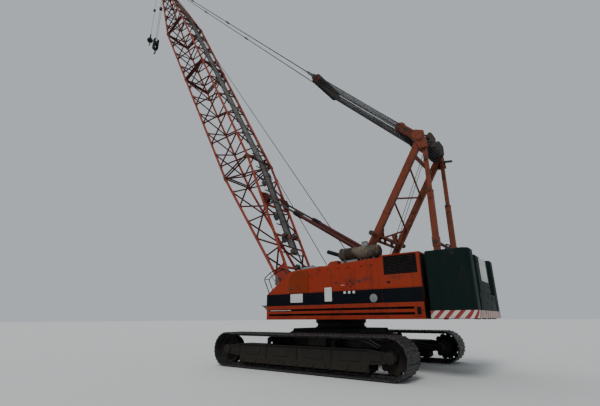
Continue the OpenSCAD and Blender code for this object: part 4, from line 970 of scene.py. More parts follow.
NORMAL = Vector((-sin(BAIL_ANGLE), 0, cos(BAIL_ANGLE)))
part = Mesh()
for k, y in enumerate(GRID):
    for w in BOTH if k < 8 else (-1,):
        off = Vector((0, y, 0)) + NORMAL * 0.14 * w
        rope(part, [BAIL_END + off, EQ + off], 0.0135)
for y, w in [(y, w) for y in (-1.0, 1.0) for w in BOTH]:
    start, end = Vector((HEAD_X, y, HEAD_Z)), Vector((EQ.x, y, EQ.z))
    rope(part, [start + NORMAL * 0.06 * w, end + NORMAL * 0.1 * w], 0.013)
part.make("luffing_ropes", "upper", [ROPE], "rigging_steel", blend=("boom", tuple(BAIL_END), tuple(EQ)))

part = Mesh()
for y in (0.1, -0.1):
    rope(part, [(-3.79, y, 7.27), (-1.76, y * 1.5, 2.74)], 0.011, 1.0)
part.make("luffing_fall", "upper", [ROPE], "rigging_steel")

part = Mesh()
a, b = Vector((-1.648, 0.22, 2.266)), boom_point(TIP - 0.55, 0.445, 0.18)
rope(part, [a, b, boom_point(TIP - 0.06, 0.36, 0.18)], 0.017, 0.4)
part.make("main_hoist_rope", "upper", [ROPE], "rigging_steel",
          blend=("boom", tuple(a), tuple(a + (b - a).normalized() * 9)))
part = Mesh()
a, b = Vector((-0.101, -0.34, 2.266)), boom_point(7.75, 1.06, -0.34)
rope(part, [a, b, boom_point(23.0, 1.05, -0.34), boom_point(TIP - 0.55, 0.445, -0.1),
            boom_point(TIP + 0.98, -0.46, -0.01)], 0.016, 0.35)
part.make("aux_hoist_rope", "upper", [ROPE], "rigging_steel", blend=("boom", tuple(a), tuple(b)))

# Rope guides on the boom
part = Mesh()
for x, z in ((7.75, 1.0), (15.2, 0.985), (23.0, 0.985)):
    y = -0.34
    for o in (-0.05, 0.05):
        part.plate(taper(x, 0.89, z + 0.04, 0.06, 0.04), y + o, 0.006, 0, 0.002)
    part.roller(x, y, z, 0.012, (0.06, 0.04), (0.045, 0.015), 1)
    part.pin(x, y, z, 0.06, 0.012, 8, 1)
    part.box(x, y, 0.8835, 0.07, 0.12, 0.0085, 0, 0.003)
for y in (-0.1, 0.18):
    sheave(part, (TIP - 0.5, y, 0.26), 0.17, 0.06, 0.05, 1)
part.place(BOOM).make("boom_rope_guides", "boom", [LACING_RED, RIGGING], "rigging_steel")


def hook_shape(part, x, z, bowl, section):
    """Forged hook whose bowl is centred on (x, z), open at its front upper side, with a latch."""
    ring = bowl + section / 2
    path = [(x, 0, z + ring + 2.2 * section), (x, 0, z + ring + 1.2 * section),
            (x - 0.02 * ring, 0, z + ring + 0.55 * section), (x - 0.22 * ring, 0, z + ring + 0.1 * section)]
    radii = [0.42, 0.42, 0.46, 0.5]
    for k, (px, pz) in enumerate(arc(x, z, ring, 112, 338, 14)):
        path.append((px, 0, pz))
        radii.append(0.5 + 0.14 * sin(pi * k / 9) if k < 9 else 0.58 - 0.33 * (k - 8) / 6)
    path.append((x + ring * 1.1, 0, z + ring * 0.02))
    part.tube(path, 0, 16, 1, radii=[r * section for r in radii + [0.17]])
    part.tube([(x + ring * u, 0, z + ring * w) for u, w in ((-0.18, 0.95), (0.45, 0.62), (1.0, 0.1))],
              section * 0.09, 8, 2)
    part.pin(x - 0.2 * ring, 0, z + ring * 0.95, section * 0.5, section * 0.14, 10, 2)


part = Mesh()
bx, bz = 16.640297, 23.3
outline = arc(bx, bz + 0.32, 0.19, 10, 170, 10) + arc(bx, bz - 0.38, 0.205, 190, 350, 10)
for s in BOTH:
    part.tube([(bx, s * 0.06, bz + 0.05), (bx, s * 0.06, 28.79)], 0.013, 8, 3)
    part.plate(outline, s * 0.15, 0.02, 0, 0.008)
    part.plate([(x * 0.8 + bx * 0.2, z * 0.8 + (bz - 0.03) * 0.2) for x, z in outline], s * 0.172, 0.006)
    for z, r in ((bz, 0.09), (bz + 0.36, 0.045), (bz - 0.44, 0.06)):
        part.disc([(r, s * 0.17), (r, s * 0.2), (r * 0.7, s * 0.205)], (bx, 0, z), "y", 20, 1)
    sheave(part, (bx, s * 0.06, bz), 0.185, 0.06, 0.045, 2)
for x, z in [(x, z) for x in (-0.13, 0.13) for z in (-0.3, 0.4)]:
    part.pin(bx + x, 0, bz + z, 0.15, 0.018, 10, 1)
part.pin(bx, 0, bz, 0.17, 0.045, 16, 1)
part.plate(rounded(bx - 0.12, bx + 0.12, bz - 0.59, bz - 0.43, 0.03), 0, 0.13, 0, 0.01)
part.disc([(0.075, 0), (0.075, -0.05), (0.06, -0.07)], (bx, 0, bz - 0.59), "z", 20, 1)
hook_shape(part, bx, 22.41, 0.065, 0.09)
part.lathe([(0.09, 0), (0.13, 0.02), (0.13, 0.2), (0.09, 0.22)], (bx, 0, 26.9), "z", 20, 2)
part.make("main_hook_block", "main_hook", [BLACK, STEEL, RIGGING, ROPE], "rigging_steel", ["hook_block"])

part = Mesh()
hx, hz = 17.685822, 24.25
part.tube([(hx, 0, hz + 0.55), (hx, 0, 29.41)], 0.013, 8, 3)
ball = [(0.23 * cos(radians(a)), 0.23 * sin(radians(a))) for a in range(-74, -3, 7)]
ball += [(0.226, -0.008), (0.226, 0.008)] + [(r, -z) for r, z in reversed(ball)]
part.disc(ball + [(0.075, 0.225), (0.06, 0.36), (0.05, 0.5), (0.05, 0.56), (0.03, 0.6), (0.0, 0.61)],
          (hx, 0, hz), "z", 40)
part.lathe([(0.05, 0.45), (0.062, 0.46), (0.062, 0.53), (0.05, 0.54)], (hx, 0, hz), "z", 20, 1)
for y in (-0.03, 0.03):
    part.plate(taper(hx, hz + 0.5, hz + 0.68, 0.045, 0.03), y, 0.006, 1, 0.002)
part.pin(hx, 0, hz + 0.62, 0.05, 0.016, 10, 1)
part.disc([(0.05, 0.0), (0.045, -0.06)], (hx, 0, hz - 0.22), "z", 20, 1)
hook_shape(part, hx, 23.814, 0.056, 0.068)
part.lathe([(0.07, 0), (0.1, 0.02), (0.1, 0.18), (0.07, 0.2)], (hx, 0, 27.4), "z", 20, 2)
part.make("hook_ball", "ball", [BLACK, STEEL, RIGGING, ROPE], "rigging_steel", ["ball_hook"])

# Winches with wound rope, their flanges, bearings and stands
part = Mesh()
DRUM_Z, TURNS, DECK = 2.43, 46, 2.012
FLANGE = ((0.08, 0.65), (0.4, 0.65), (0.4, 0.668), (0.385, 0.68), (0.3, 0.684), (0.3, 0.7), (0.08, 0.71))
for x in (-1.9, -0.35):
    turns = [(0.27, -0.65)]
    for k in range(TURNS):
        y = -0.64 + 1.28 * k / (TURNS - 1)
        turns += [(0.292, y - 0.012), (0.3, y), (0.292, y + 0.012)]
    part.lathe(turns + [(0.27, 0.65)], (x, 0, DRUM_Z), "y", 28, 1)
    for s in BOTH:
        part.lathe([(r, s * y) for r, y in FLANGE], (x, 0, DRUM_Z), "y", 36)
        part.bolts(x, s * 0.684, DRUM_Z, s, 0.34, 12, 0.014, 0.012, 2)
        part.plate(taper(x, DECK, 2.55, 0.26, 0.15), s * 0.76, 0.025, 0, 0.006)
        part.disc([(0.13, s * 0.71), (0.13, s * 0.82), (0.09, s * 0.84)], (x, 0, DRUM_Z), "y", 24, 2)
part.make("winches", "upper", [BLACK, ROPE, STEEL], "dark_steel", ["winch_drums"])

part = Mesh()
my, mz = 1.385, 3.665
band = ((0.213, 0), (0.215, 0.005), (0.215, 0.025), (0.213, 0.03))
bands = [(r, start + t) for start in (0.36, 1.08) for r, t in band]
part.disc([(0.13, 0.0), (0.195, 0.035), (0.213, 0.08), *bands, (0.213, 1.42), (0.195, 1.465), (0.1, 1.498),
           (0.0, 1.5)], (-2.4, my, mz), "x", 40)
rise, base = Vector((cos(radians(20)), 0, sin(radians(20)))), Vector((-0.96, my, mz - 0.036))
part.tube([base + rise * t for t in (0, 0.62, 0.619, 0.3)], 0, 22, 3, False, [0.0715, 0.0715, 0.064, 0.064])
part.ring(0.075, 0.12, -0.02, 0.02, (-0.885, my, mz - 0.012), "x", 26, 1)
part.ring(0.18, 0.222, -0.05, 0.0, (-0.955, my, mz), "x", 40, 1)
for x in (-2.18, -1.12):
    part.ring(0.2135, 0.2175, -0.03, 0.03, (x, my, mz), "x", 40, 1)
    part.block(x - 0.05, x + 0.05, my - 0.11, my + 0.11, 3.36, mz - 0.16, 1, 0.006)
    part.box(x, my + 0.215, mz, 0.03, 0.01, 0.03, 1)
part.make("exhaust_muffler", "upper", [MUFFLER, STEEL, DARK, BLACK], "muffler_steel", ["muffler"])


def eye(part, centre, axis):
    """Lifting lug: a plate with a round top and a hole."""
    outer = arc(0, 0, 0.08, -30, 210, 16) + [(-0.105, -0.11), (0.105, -0.11)]
    lug_plate(part, centre, axis, 0.03, outer, circle(0.045, 20), 1)


def strip(part, path, out, thick, z0, z1):
    """Upright plate that follows a plan path, standing out by out on the path's right side."""
    n, rings = len(path), []
    for offset in (out - thick, out):
        ring = []
        for i, p in enumerate(path):
            a = (p - path[i - 1]).normalized() if i else (path[1] - p).normalized()
            b = (path[i + 1] - p).normalized() if i < n - 1 else a
            total = Vector((a.y, -a.x)) + Vector((b.y, -b.x))
            ring.append(p + total * (2 * offset / total.length_squared))
        rings.append(ring)
    verts = [(p.x, p.y, z) for z in (z0, z1) for ring in rings for p in ring]
    faces = [[i, n + i, 3 * n + i, 2 * n + i] for i in (0, n - 1)]
    for i in range(n - 1):
        a, b, c, d = i, n + i, 2 * n + i, 3 * n + i
        faces += [[b, b + 1, d + 1, d], [a + 1, a, c, c + 1], [a, a + 1, b + 1, b], [d, d + 1, c + 1, c]]
    part.add(verts, faces)


# Counterweight: side blocks, middle, warning band and the blank sign at the rear
FRONT, REAR, CORNER = -3.93, -5.12, -4.97
WEIGHT_Z, WEIGHT_SIDE = 1.56, 1.88
for s, word in SIDES:
    part = Mesh()
    plan = ((FRONT, 1.18), (FRONT, WEIGHT_SIDE), (CORNER, WEIGHT_SIDE), (REAR, 1.73), (REAR, 1.33),
            (CORNER, 1.18))
    plan = fillet([(x, s * y) for x, y in plan], [0.03, 0.06, 0.12, 0.12, 0.12, 0.08], 6)
    part.prism(plan, WEIGHT_Z, 3.4, "z", 0, 0.022)
    part.block(-4.452, -4.428, s * 1.878, s * 1.886, 1.8, 3.36, 0, 0.002)
    for x, z in ((-4.14, 1.95), (-4.72, 1.95), (-4.14, 3.12), (-4.72, 3.12)):
        part.disc([(0.026, s * 1.879), (0.026, s * 1.885), (0.018, s * 1.888)], (x, 0, z), "y", 14)
    part.box(-4.525, s * 1.55, 3.4055, 0.12, 0.09, 0.0095, 0, 0.006)
    eye(part, (-4.525, s * 1.55, 3.51), "y")
    for x in (-4.06, -4.9):
        part.disc([(0.06, 3.398), (0.06, 3.412), (0.045, 3.418)], (x, s * 1.5, 0), "z", 16, 1)
    for x, y in ((-4.06, 1.76), (-4.33, 1.76), (-4.6, 1.76), (-4.87, 1.76), (-5.0, 1.36), (-5.0, 1.66)):
        part.bolt(x, s * y, WEIGHT_Z + 0.002, "-z", 0.028, 0.03, 1)
    part.make("weight_block_" + word, "upper", [WEIGHT, RIGGING], "weight_paint", ["counterweight_" + word])

part = Mesh()
part.prism(fillet(rect(REAR, -4.42, -1.18, 1.18), [0.012, 0.02, 0.02, 0.012]), WEIGHT_Z, 2.24, "z", 0, 0.012)
plan = [(-4.42, -0.84), (-4.42, 0.84), (-5.03, 0.84), (-5.08, 0.79), (-5.08, -0.79), (-5.03, -0.84)]
part.prism(fillet(plan, [0.02, 0.02, 0.05, 0.05, 0.05, 0.05]), 2.238, 3.33, "z", 0, 0.022)
for s in BOTH:
    eye(part, (-4.77, s * 0.48, 3.44), "x")
    part.box(-4.77, s * 0.48, 3.335, 0.07, 0.13, 0.009, 0, 0.006)
    for z in (2.46, 3.14):
        part.disc([(0.03, -5.079), (0.03, -5.086), (0.022, -5.09)], (0, s * 0.66 + 0.06, z), "x", 14)
for k in range(7):
    part.bolt(-5.0, -0.96 + 0.32 * k, WEIGHT_Z + 0.002, "-z", 0.028, 0.03, 1)
part.make("weight_middle", "upper", [WEIGHT, RIGGING], "weight_paint", ["counterweight_middle"])

part = Mesh()
corners = [(FRONT, -WEIGHT_SIDE), (CORNER, -WEIGHT_SIDE), (REAR, -1.73), (REAR, 0)]
path = [(-3.94, -WEIGHT_SIDE)] + fillet(corners, [0, 0.12, 0.12, 0], 6)[1:-1]
path += [(x, -y) for x, y in reversed(path)]
strip(part, [Vector(p) for p in path[::-1]], 0.01, 0.014, 1.545, 1.75)
for x, y in ((-4.3, 1.76), (-4.3, -1.76), (-4.99, 1.2), (-4.99, -1.2), (-4.99, 0.4), (-4.99, -0.4)):
    part.box(x, y, 1.54, 0.05, 0.05, 0.025, 1, 0.006)
part.make("warning_band", "upper", [CHEVRON, BLACK], "sign_white")

part = Mesh()
part.prism(rounded(-0.585, 0.405, 2.6, 3.31, 0.02), -5.088, -5.081, "x", 0, 0.001)
for y, z in ((-0.545, 2.64), (-0.545, 3.27), (0.365, 2.64), (0.365, 3.27)):
    part.disc([(0.012, -5.087), (0.012, -5.09)], (0, y, z), "x", 10, 1)
part.make("blank_sign", "upper", [SIGN, STEEL], "sign_white", ["sign_plate"])

# Left house side: the houses' side and rear, the sunk skin, and where doors and the hood's top start
SIDE, HOUSE_REAR = 1.6, -2.44
SKIN = 0.004
DOOR_Z, HOOD_TOP = 2.455, 3.468


def handle(part, x, z, y, length, out, mat):
    """Lying bar handle on a side at y."""
    half, o = length / 2, copysign(out, y)
    ends = ((1, 0), (0.98, 0.7), (0.85, 1))
    part.tube([(x - half * u, y + o * w, z) for u, w in ends]
              + [(x + half * u, y + o * w, z) for u, w in reversed(ends)], 0.009, 8, mat)


def hinge(part, x, z, y, upright=True):
    o, d = copysign(0.014, y), 0.045
    a, b = (0, d) if upright else (d, 0)
    part.tube([(x - a, y + o, z - b), (x + a, y + o, z + b)], 0.011, 8)
    part.box(x, y + o * 0.25, z, a * 0.8 or 0.03, abs(o) * 0.25, b * 0.8 or 0.03, 0, 0.002)


def latch(part, x, z, y):
    part.block(x - 0.05, x + 0.05, y, y + copysign(0.012, y), z - 0.03, z + 0.03, 1, 0.003)
    part.block(x - 0.035, x + 0.02, y, y + copysign(0.024, y), z - 0.01, z + 0.01, 1, 0.003)


part = Mesh()
part.panel(fillet([(0.36, DOOR_Z), (1.24, DOOR_Z), (1.24, 2.98), (1.02, 3.2), (0.36, 3.2)],
                  [0.03, 0.03, 0.05, 0.08, 0.05]), SIDE, 0.014, 4, 0.003, SKIN)
latch(part, 1.12, 2.6, SIDE + 0.014)
for z in (2.62, 3.05):
    hinge(part, 0.34, z, SIDE + 0.002)
part.panel(rounded(-2.36, 0.2, DOOR_Z, 3.19, 0.03), SIDE, 0.006, 0, 0.002, SKIN)
for x in (-0.62, -1.5):
    part.block(x - 0.004, x + 0.004, SIDE + 0.002, SIDE + 0.0085, 2.47, 3.17, 2, 0.001)
for x in (-0.8, -1.66):
    latch(part, x, 2.72, SIDE + 0.006)
for x in (-0.48, -0.12, -1.26, -0.9, -2.14, -1.78):
    hinge(part, x, 3.195, SIDE + 0.004, False)
part.panel(rounded(-1.2, -0.93, 2.52, 2.7, 0.02), SIDE, 0.016, 0, 0.003)
part.block(-1.13, -1.0, SIDE + 0.014, SIDE + 0.02, 2.61, 2.625, 3, 0.001)
for x, z in circle(0.09, 4):
    part.disc([(0.022, 0), (0.022, 0.014), (0.015, 0.018)], (x - 1.33, SIDE, z + 2.65), "y", 12, 2)
for k in range(13):
    part.bolt(2.12 - 0.36 * k, SIDE + 0.003, 2.475, 1, 0.011, 0.008, 1)
part.make("left_house_panels", "upper", [ORANGE, STEEL, DARK, WHITE, DULL], "body_paint")

# Dark stripe along both sides, with blank plates on it
STRIPE = (2.014, 2.43)
part = Mesh()
for x0, x1, y in ((HOUSE_REAR, 2.305, SIDE), (-3.7, -2.446, SIDE), (HOUSE_REAR, -0.305, -SIDE)):
    part.panel(rect(x0, x1, *STRIPE), y, 0.005, 0, 0.002, SKIN)
part.block(2.296, 2.306, 1.19, 1.6, *STRIPE, 0, 0.002)
part.make("dark_stripe", "upper", [NAVY], "body_paint")

part = Mesh()
ON = SIDE + 0.005
part.panel(rounded(0.6, 1.15, 2.11, 2.41, 0.02), ON, 0.005, 0, 0.001)
part.panel(rounded(-0.62, -0.33, 2.11, 2.57, 0.02), ON, 0.005, 0, 0.001)
for x, y in ((-1.12, ON), (-1.29, ON), (-1.46, ON), (-1.2, -ON), (-1.36, -ON), (-1.52, -ON)):
    part.panel(pad(x, 2.375, 0.045, 0.04, 0.015), y, 0.005, 0, 0.001)
part.disc([(0.13, ON), (0.13, ON + 0.007), (0.115, ON + 0.01)], (-2.14, 0, 2.16), "y", 28, 1)
part.make("blank_plates", "upper", [SIGN, GREY], "sign_white")

# Hood: louvres, roof items and the cooler screens on its rear wall
part = Mesh()
HOOD = (-3.6, -2.54)
for s, z0, z1, count in ((1, 2.85, 3.42, 12), (-1, 2.05, 3.15, 24)):
    y = s * (SIDE - 0.03)
    a, b = y + s * 0.004, y + s * 0.026
    part.block(HOOD[0] + 0.002, HOOD[1] - 0.002, y, a, z0 + 0.002, z1 - 0.002, 1, 0.001)
    for k in range(count):
        z = z0 + 0.03 + (z1 - z0 - 0.05) / count * (k + 0.5)
        blade = [(a, z - 0.006), (b, z - 0.026), (b, z - 0.02), (a, z + 0.01)]
        part.prism(blade, HOOD[0] + 0.02, HOOD[1] - 0.02, "x")
    for x in (HOOD[0] + 0.01, -3.07, HOOD[1] - 0.01):
        part.block(x - 0.012, x + 0.012, y + s * 0.002, y + s * 0.029, z0 + 0.004, z1 - 0.004, 0, 0.002)
part.make("hood_louvres", "upper", [BLACK, DARK], "dark_steel")

part = Mesh()
part.panel(rounded(-3.66, -2.5, DOOR_Z, 2.8, 0.03), SIDE, 0.006, 0, 0.002, SKIN)
latch(part, -2.68, 2.62, SIDE + 0.006)
for s in BOTH:
    part.block(-3.7, HOUSE_REAR, s * (SIDE - 0.002), s * (SIDE + 0.006), 3.435, 3.465, 0, 0.002)
for x in (-3.5, -2.62):
    handle(part, x, 3.478, SIDE - 0.35, 0.2, 0.0, 1)
part.prism(rect(-3.5, -2.7, -0.9, 0.2), HOOD_TOP, 3.56, "z", 2, 0.02)
part.prism(rect(-3.35, -2.75, 0.45, 1.15), HOOD_TOP, 3.52, "z", 2, 0.02)
for k in range(6):
    part.block(-3.42 + 0.12 * k, -3.36 + 0.12 * k, -0.8, 0.1, 3.555, 3.568, 1, 0.002)
stack = [(0.15, 0), (0.15, 0.03), (0.1, 0.06), (0.1, 0.23), (0.125, 0.245), (0.125, 0.31), (0.085, 0.34)]
part.disc(stack, (-3.45, -1.25, 3.47), "z", 24, 1)
for k in range(4):
    part.disc([(0.05, HOOD_TOP), (0.05, 3.5), (0.035, 3.51)], (-2.6, -1.3 + 0.55 * k, 0), "z", 16, 1)
part.make("hood_details", "upper", [ORANGE, BLACK, GREY], "body_paint")

part = Mesh()
for s in BOTH:
    y0, y1 = sorted((s * 0.14, s * 1.56))
    part.prism(rounded(y0, y1, 2.05, 3.42, 0.03), -3.708, -3.698, "x", 0, 0.002)
    for k in range(24):
        z = 2.12 + 0.052 * k
        blade = [(-3.728, z), (-3.706, z + 0.022), (-3.706, z + 0.03), (-3.728, z + 0.008)]
        part.prism(blade, y0 + 0.06, y1 - 0.06)
    for y in (y0 + 0.03, (y0 + y1) / 2, y1 - 0.03):
        part.box(-3.717, y, 2.735, 0.015, 0.018, 0.645)
    for z in (2.07, 3.4):
        part.block(-3.732, -3.702, y0 + 0.02, y1 - 0.02, z - 0.018, z + 0.018)
    part.prism(pad(s * 1.48, 1.77, 0.11, 0.22, 0.02), -3.706, -3.698, "x", 0, 0.002)
part.make("hood_rear_screens", "upper", [BLACK], "dark_steel")


def roof(x, over=0.0):
    """Height of the left house's roof at x, or a point over it."""
    front, low, high = 1.17, 3.24, 3.41
    return low + (front - x) * (high - low) / (front - HOUSE_REAR) + over


# Roof items, front step and rail
part = Mesh()
for points, y0, y1, mat, c in (
        (((0.46, -SKIN), (0.72, -SKIN), (0.7, 0.08), (0.18, 0.09906), (0.05, -SKIN)), 1.24, 1.52, 1, 0.01),
        (((-0.86, -SKIN), (-0.46, -SKIN), (-0.46, 0.05), (-0.56, 0.127175), (-0.86, 0.13)), 1.21, 1.56,
         0, 0.01),
        (((-1.58, -SKIN), (-0.92, -SKIN), (-0.95, 0.09), (-1.58, 0.1)), 1.22, 1.48, 1, 0.012)):
    part.prism([(x, roof(x, over)) for x, over in points], y0, y1, "y", mat, c)
part.block(-1.92, -1.7, 1.205, 1.37, 3.39, 4.02, 1, 0.02)
part.block(-1.9, -1.72, 1.22, 1.36, 4.0, 4.05, 2, 0.008)
for x in (0.95, -1.98):
    part.disc([(0.06, 0), (0.06, 0.05), (0.04, 0.065)], (x, 1.38, roof(x, -0.005)), "z", 18, 1)
for k in range(9):
    x = 1.0 - 0.38 * k
    part.bolt(x, 1.575, roof(x, -0.002), "+z", 0.01, 0.008, 2)
part.make("left_roof_items", "upper", [ORANGE, GREY, STEEL], "body_paint")

part = Mesh()
for y in (1.52, 1.24):
    part.tube([(x, y, z) for x, z in ((2.26, 2.44), (2.3, 2.6), (2.52, 3.02), (2.5, 3.1), (2.2, 3.3),
                                      (1.75, 3.42), (1.6, 3.36), (1.42, 3.225))], 0.018)
part.pin(2.515, 1.38, 3.06, 0.14, 0.014)
part.pin(1.75, 1.38, 3.42, 0.14, 0.014)
part.block(2.02, 2.06, 1.26, 1.44, 2.8, 3.16, 1, 0.01)
part.tube([(2.04, 1.52, 2.98), (2.04, 1.4, 2.98)], 0.01, 8)
part.tube([(2.04, 1.52, 2.98), (2.22, 1.52, 3.285)], 0.01, 8)
part.block(2.3, 2.6, 1.2, 1.58, 2.02, 2.05, 1, 0.006)
for y in (1.26, 1.52):
    part.plate([(2.3, 1.84), (2.34, 1.84), (2.56, 2.02), (2.3, 2.02)], y, 0.01, 1, 0.003)
for k in range(5):
    part.block(2.33 + 0.055 * k, 2.345 + 0.055 * k, 1.22, 1.56, 2.048, 2.058, 0, 0.001)
part.make("front_step_and_rail", "upper", [BLACK, GREY], "dark_steel")

# Side rails
part = Mesh()
for s in BOTH:
    # Near-black strips at the back of the rail's two grooves: painted shade in the grooves, together with
    # their dark paint.
    for z in (1.69, 1.85):
        part.block(-3.398, 2.178, s * (SIDE - 0.06), s * (SIDE - 0.058), z - 0.034, z + 0.034, 1, 0.0005)
    part.panel(rounded(-3.66, -3.42, 1.6, 1.93, 0.02), s * SIDE, 0.01, 0, 0.003, SKIN)
    part.block(-3.6, -3.48, s * SIDE, s * (SIDE + 0.013), 1.66, 1.87, 1, 0.003)
    for k in range(14):
        for z in (1.965, 1.575):
            part.bolt(-3.3 + 0.41 * k, s * SIDE, z, s, 0.014, 0.01, 2)
    part.block(2.18, 2.31, s * 1.37, s * 1.59, 1.6, 1.93, 1, 0.006)
part.block(1.15, 2.15, SIDE - 0.05, SIDE - 0.02, 1.835, 1.862, 3)
part.make("side_rail_trim", "upper", [ORANGE, DARK, STEEL, WHITE], "body_paint")

# Cab: its outer and inner side and its wall's thickness
OUT, IN, WALL = -1.82, -1.0, 0.05


def window(part, u0, u1, v0, v1, plane, axis, r=0.004):
    part.prism(rounded(u0, u1, v0, v1, r), plane - 0.003, plane + 0.003, axis)


def gasket(part, u0, u1, v0, v1, r, plane, axis, width, half):
    """Rubber frame along a window's edge, on both sides of its pane."""
    outer = rounded(u0 - width, u1 + width, v0 - width, v1 + width, r + width, 5)
    inner = rounded(u0, u1, v0, v1, r, 5)
    n = len(outer)
    verts = [PLACE[axis](u, v, plane + w) for w in (-half, half) for u, v in outer + inner]
    faces = []
    for i in range(n):
        j = (i + 1) % n
        faces += [[i, j, n + j, n + i], [2 * n + j, 2 * n + i, 3 * n + i, 3 * n + j],
                  [j, i, 2 * n + i, 2 * n + j], [n + i, n + j, 3 * n + j, 3 * n + i]]
    part.add(verts, faces, 1)


part = Mesh()
mid = OUT + WALL / 2
for u0, u1, v0, v1, plane, axis, outside in (
        (-0.15, 0.78, 3.05, 3.52, mid, "y", OUT), (-0.1, 1.72, 2.9, 3.5, IN - WALL / 2, "y", IN),
        (-1.66, -1.16, 3.45, 3.6, -0.275, "x", -0.3)):
    window(part, u0 + 0.002, u1 - 0.002, v0 + 0.002, v1 - 0.002, plane, axis)
    gasket(part, u0 + 0.03, u1 - 0.03, v0 + 0.03, v1 - 0.03, 0.03, outside, axis, 0.045, 0.006)
for x in (0.31, 0.33):
    part.block(x - 0.01, x + 0.01, mid - 0.012, mid + 0.012, 3.055, 3.515, 1, 0.002)
for x in (0.82, 0.84):
    part.block(x - 0.012, x + 0.012, IN - 0.037, IN - 0.013, 2.905, 3.495, 1, 0.002)
one = Mesh()
window(one, -1.708, -1.112, 0.002, 0.785, 0, "x", 0.02)
gasket(one, -1.68, -1.14, 0.03, 0.757, 0.04, 0.022, "x", 0.045, 0.006)
for y, turn in ((-1.42, -14), (-1.3, 10)):
    u, w = sin(radians(turn)), cos(radians(turn))
    one.tube([(0.035, y, -0.05), (0.04, y + 0.28 * u, 0.28 * w)], 0.006, 8, 1)
    one.tube([(0.034, y + 0.2 * u - 0.015, 0.08 * w), (0.034, y + 0.34 * u, 0.46 * w)], 0.008, 6, 1)
    one.disc([(0.022, 0.02), (0.018, 0.045)], (0, y, -0.05), "x", 12, 1)
SLOPE = 0.12 / 0.86
part.moved(one, shift(2.396 - SLOPE * 0.04, 0, 2.6) @ lean(atan(SLOPE)))
part.make("cab_windows", "upper", [GLASS, RUBBER], "body_paint")

# Roof edge, gutters, lamps, mirror, steps and rails outside
part = Mesh()
roof_line = [(-0.3, 3.67), (1.72, 3.76), (2.0, 3.68), (2.3, 3.42)]
for y in (OUT - 0.012, IN + 0.012):
    for (x0, z0), (x1, z1) in zip(roof_line, roof_line[1:]):
        part.beam((x0, y, z0 - 0.035), (x1, y, z1 - 0.035), 0.022, 0.02, c=0.004)
outline = [(-0.25, 3.674), (1.7, 3.762), (1.7, 3.775), (-0.25, 3.688)]
part.prism(outline, OUT + 0.08, IN - 0.08, "y", 0, 0.004)
for k in range(4):
    x = 0.05 + 0.4 * k
    z = 3.696 + 0.0446 * x
    part.beam((x, OUT + 0.12, z), (x, IN - 0.12, z), 0.02, 0.03, 0, (0, 0, 1), 0.004)
for y in (OUT + 0.14, IN - 0.14):
    part.lathe([(0, -0.01), (0.05, 0.0), (0.065, 0.05), (0.068, 0.07), (0.06, 0.07), (0, 0.055)],
               (1.98, y, 3.8), "x", 22, 1, False)
    part.lathe([(0, 0.062), (0.06, 0.062), (0.058, 0.068), (0, 0.072)], (1.98, y, 3.8), "x", 22, 3, False)
    part.tube([(1.96, y, 3.68), (1.99, y, 3.76)], 0.012, 8, 1)
for points in (((2.21, 0.004, 2.48), (2.21, 0.06, 2.52), (2.18, 0.06, 3.36), (2.18, 0.004, 3.4)),
               ((0.84, 0.004, 2.3), (0.84, 0.055, 2.32), (0.84, 0.065, 2.37), (0.84, 0.065, 3.03),
                (0.84, 0.055, 3.08), (0.84, 0.004, 3.1))):
    part.tube([(x, OUT - y, z) for x, y, z in points], 0.012, 10, 4)
part.tube([(x, OUT - y, z) for x, y, z in ((2.26, 0.002, 3.3), (2.42, 0.16, 3.28), (2.52, 0.2, 3.2),
                                           (2.52, 0.2, 2.82), (2.44, 0.14, 2.7), (2.39, 0.002, 2.7))],
          0.011, 10, 1)
mirror = (2.525, OUT - 0.22, 3.02)
part.prism(circle(0.105, 28), 0.0, 0.022, "x", 1, 0.006, mirror)
# The mirror's face takes the pale white paint: a painted reflection of the sky.
part.prism(circle(0.095, 28), -0.004, 0.002, "x", 4, 0.001, mirror)
part.tube([(2.52, OUT - 0.2, 3.02), (2.54, OUT - 0.22, 3.02)], 0.02, 10, 1)
for z, x0, x1, out in ((2.02, 0.86, 2.3, 0.16), (1.72, 1.02, 1.62, 0.2)):
    part.block(x0, x1, OUT - out, OUT + 0.02, z - 0.02, z, 2)
    for k in range(int((x1 - x0) / 0.08)):
        part.block(x0 + 0.02 + 0.08 * k, x0 + 0.035 + 0.08 * k, OUT - 0.14, OUT, z, z + 0.006, 2, 0.001)
for x in (1.04, 1.6):
    part.beam((x, OUT - 0.1, 1.72), (x, OUT - 0.1, 2.01), 0.03, 0.03, 2, c=0.004)
part.box(1.0, OUT, 2.041, 1.3, 0.004, 0.029, 2, 0.002)
part.make("cab_outside_parts", "upper", [ORANGE, BLACK, STEEL, LAMP, WHITE], "body_paint")

part = Mesh()
z0, z1 = STRIPE
for outline in (rect(-0.296, 0.885, z0, z1), [(1.728, z0), (2.262, z0), (2.372, z1), (1.728, z1)]):
    part.panel(outline, OUT, 0.005, 0, 0.002, 0.003)
part.make("cab_stripe", "upper", [NAVY], "body_paint")

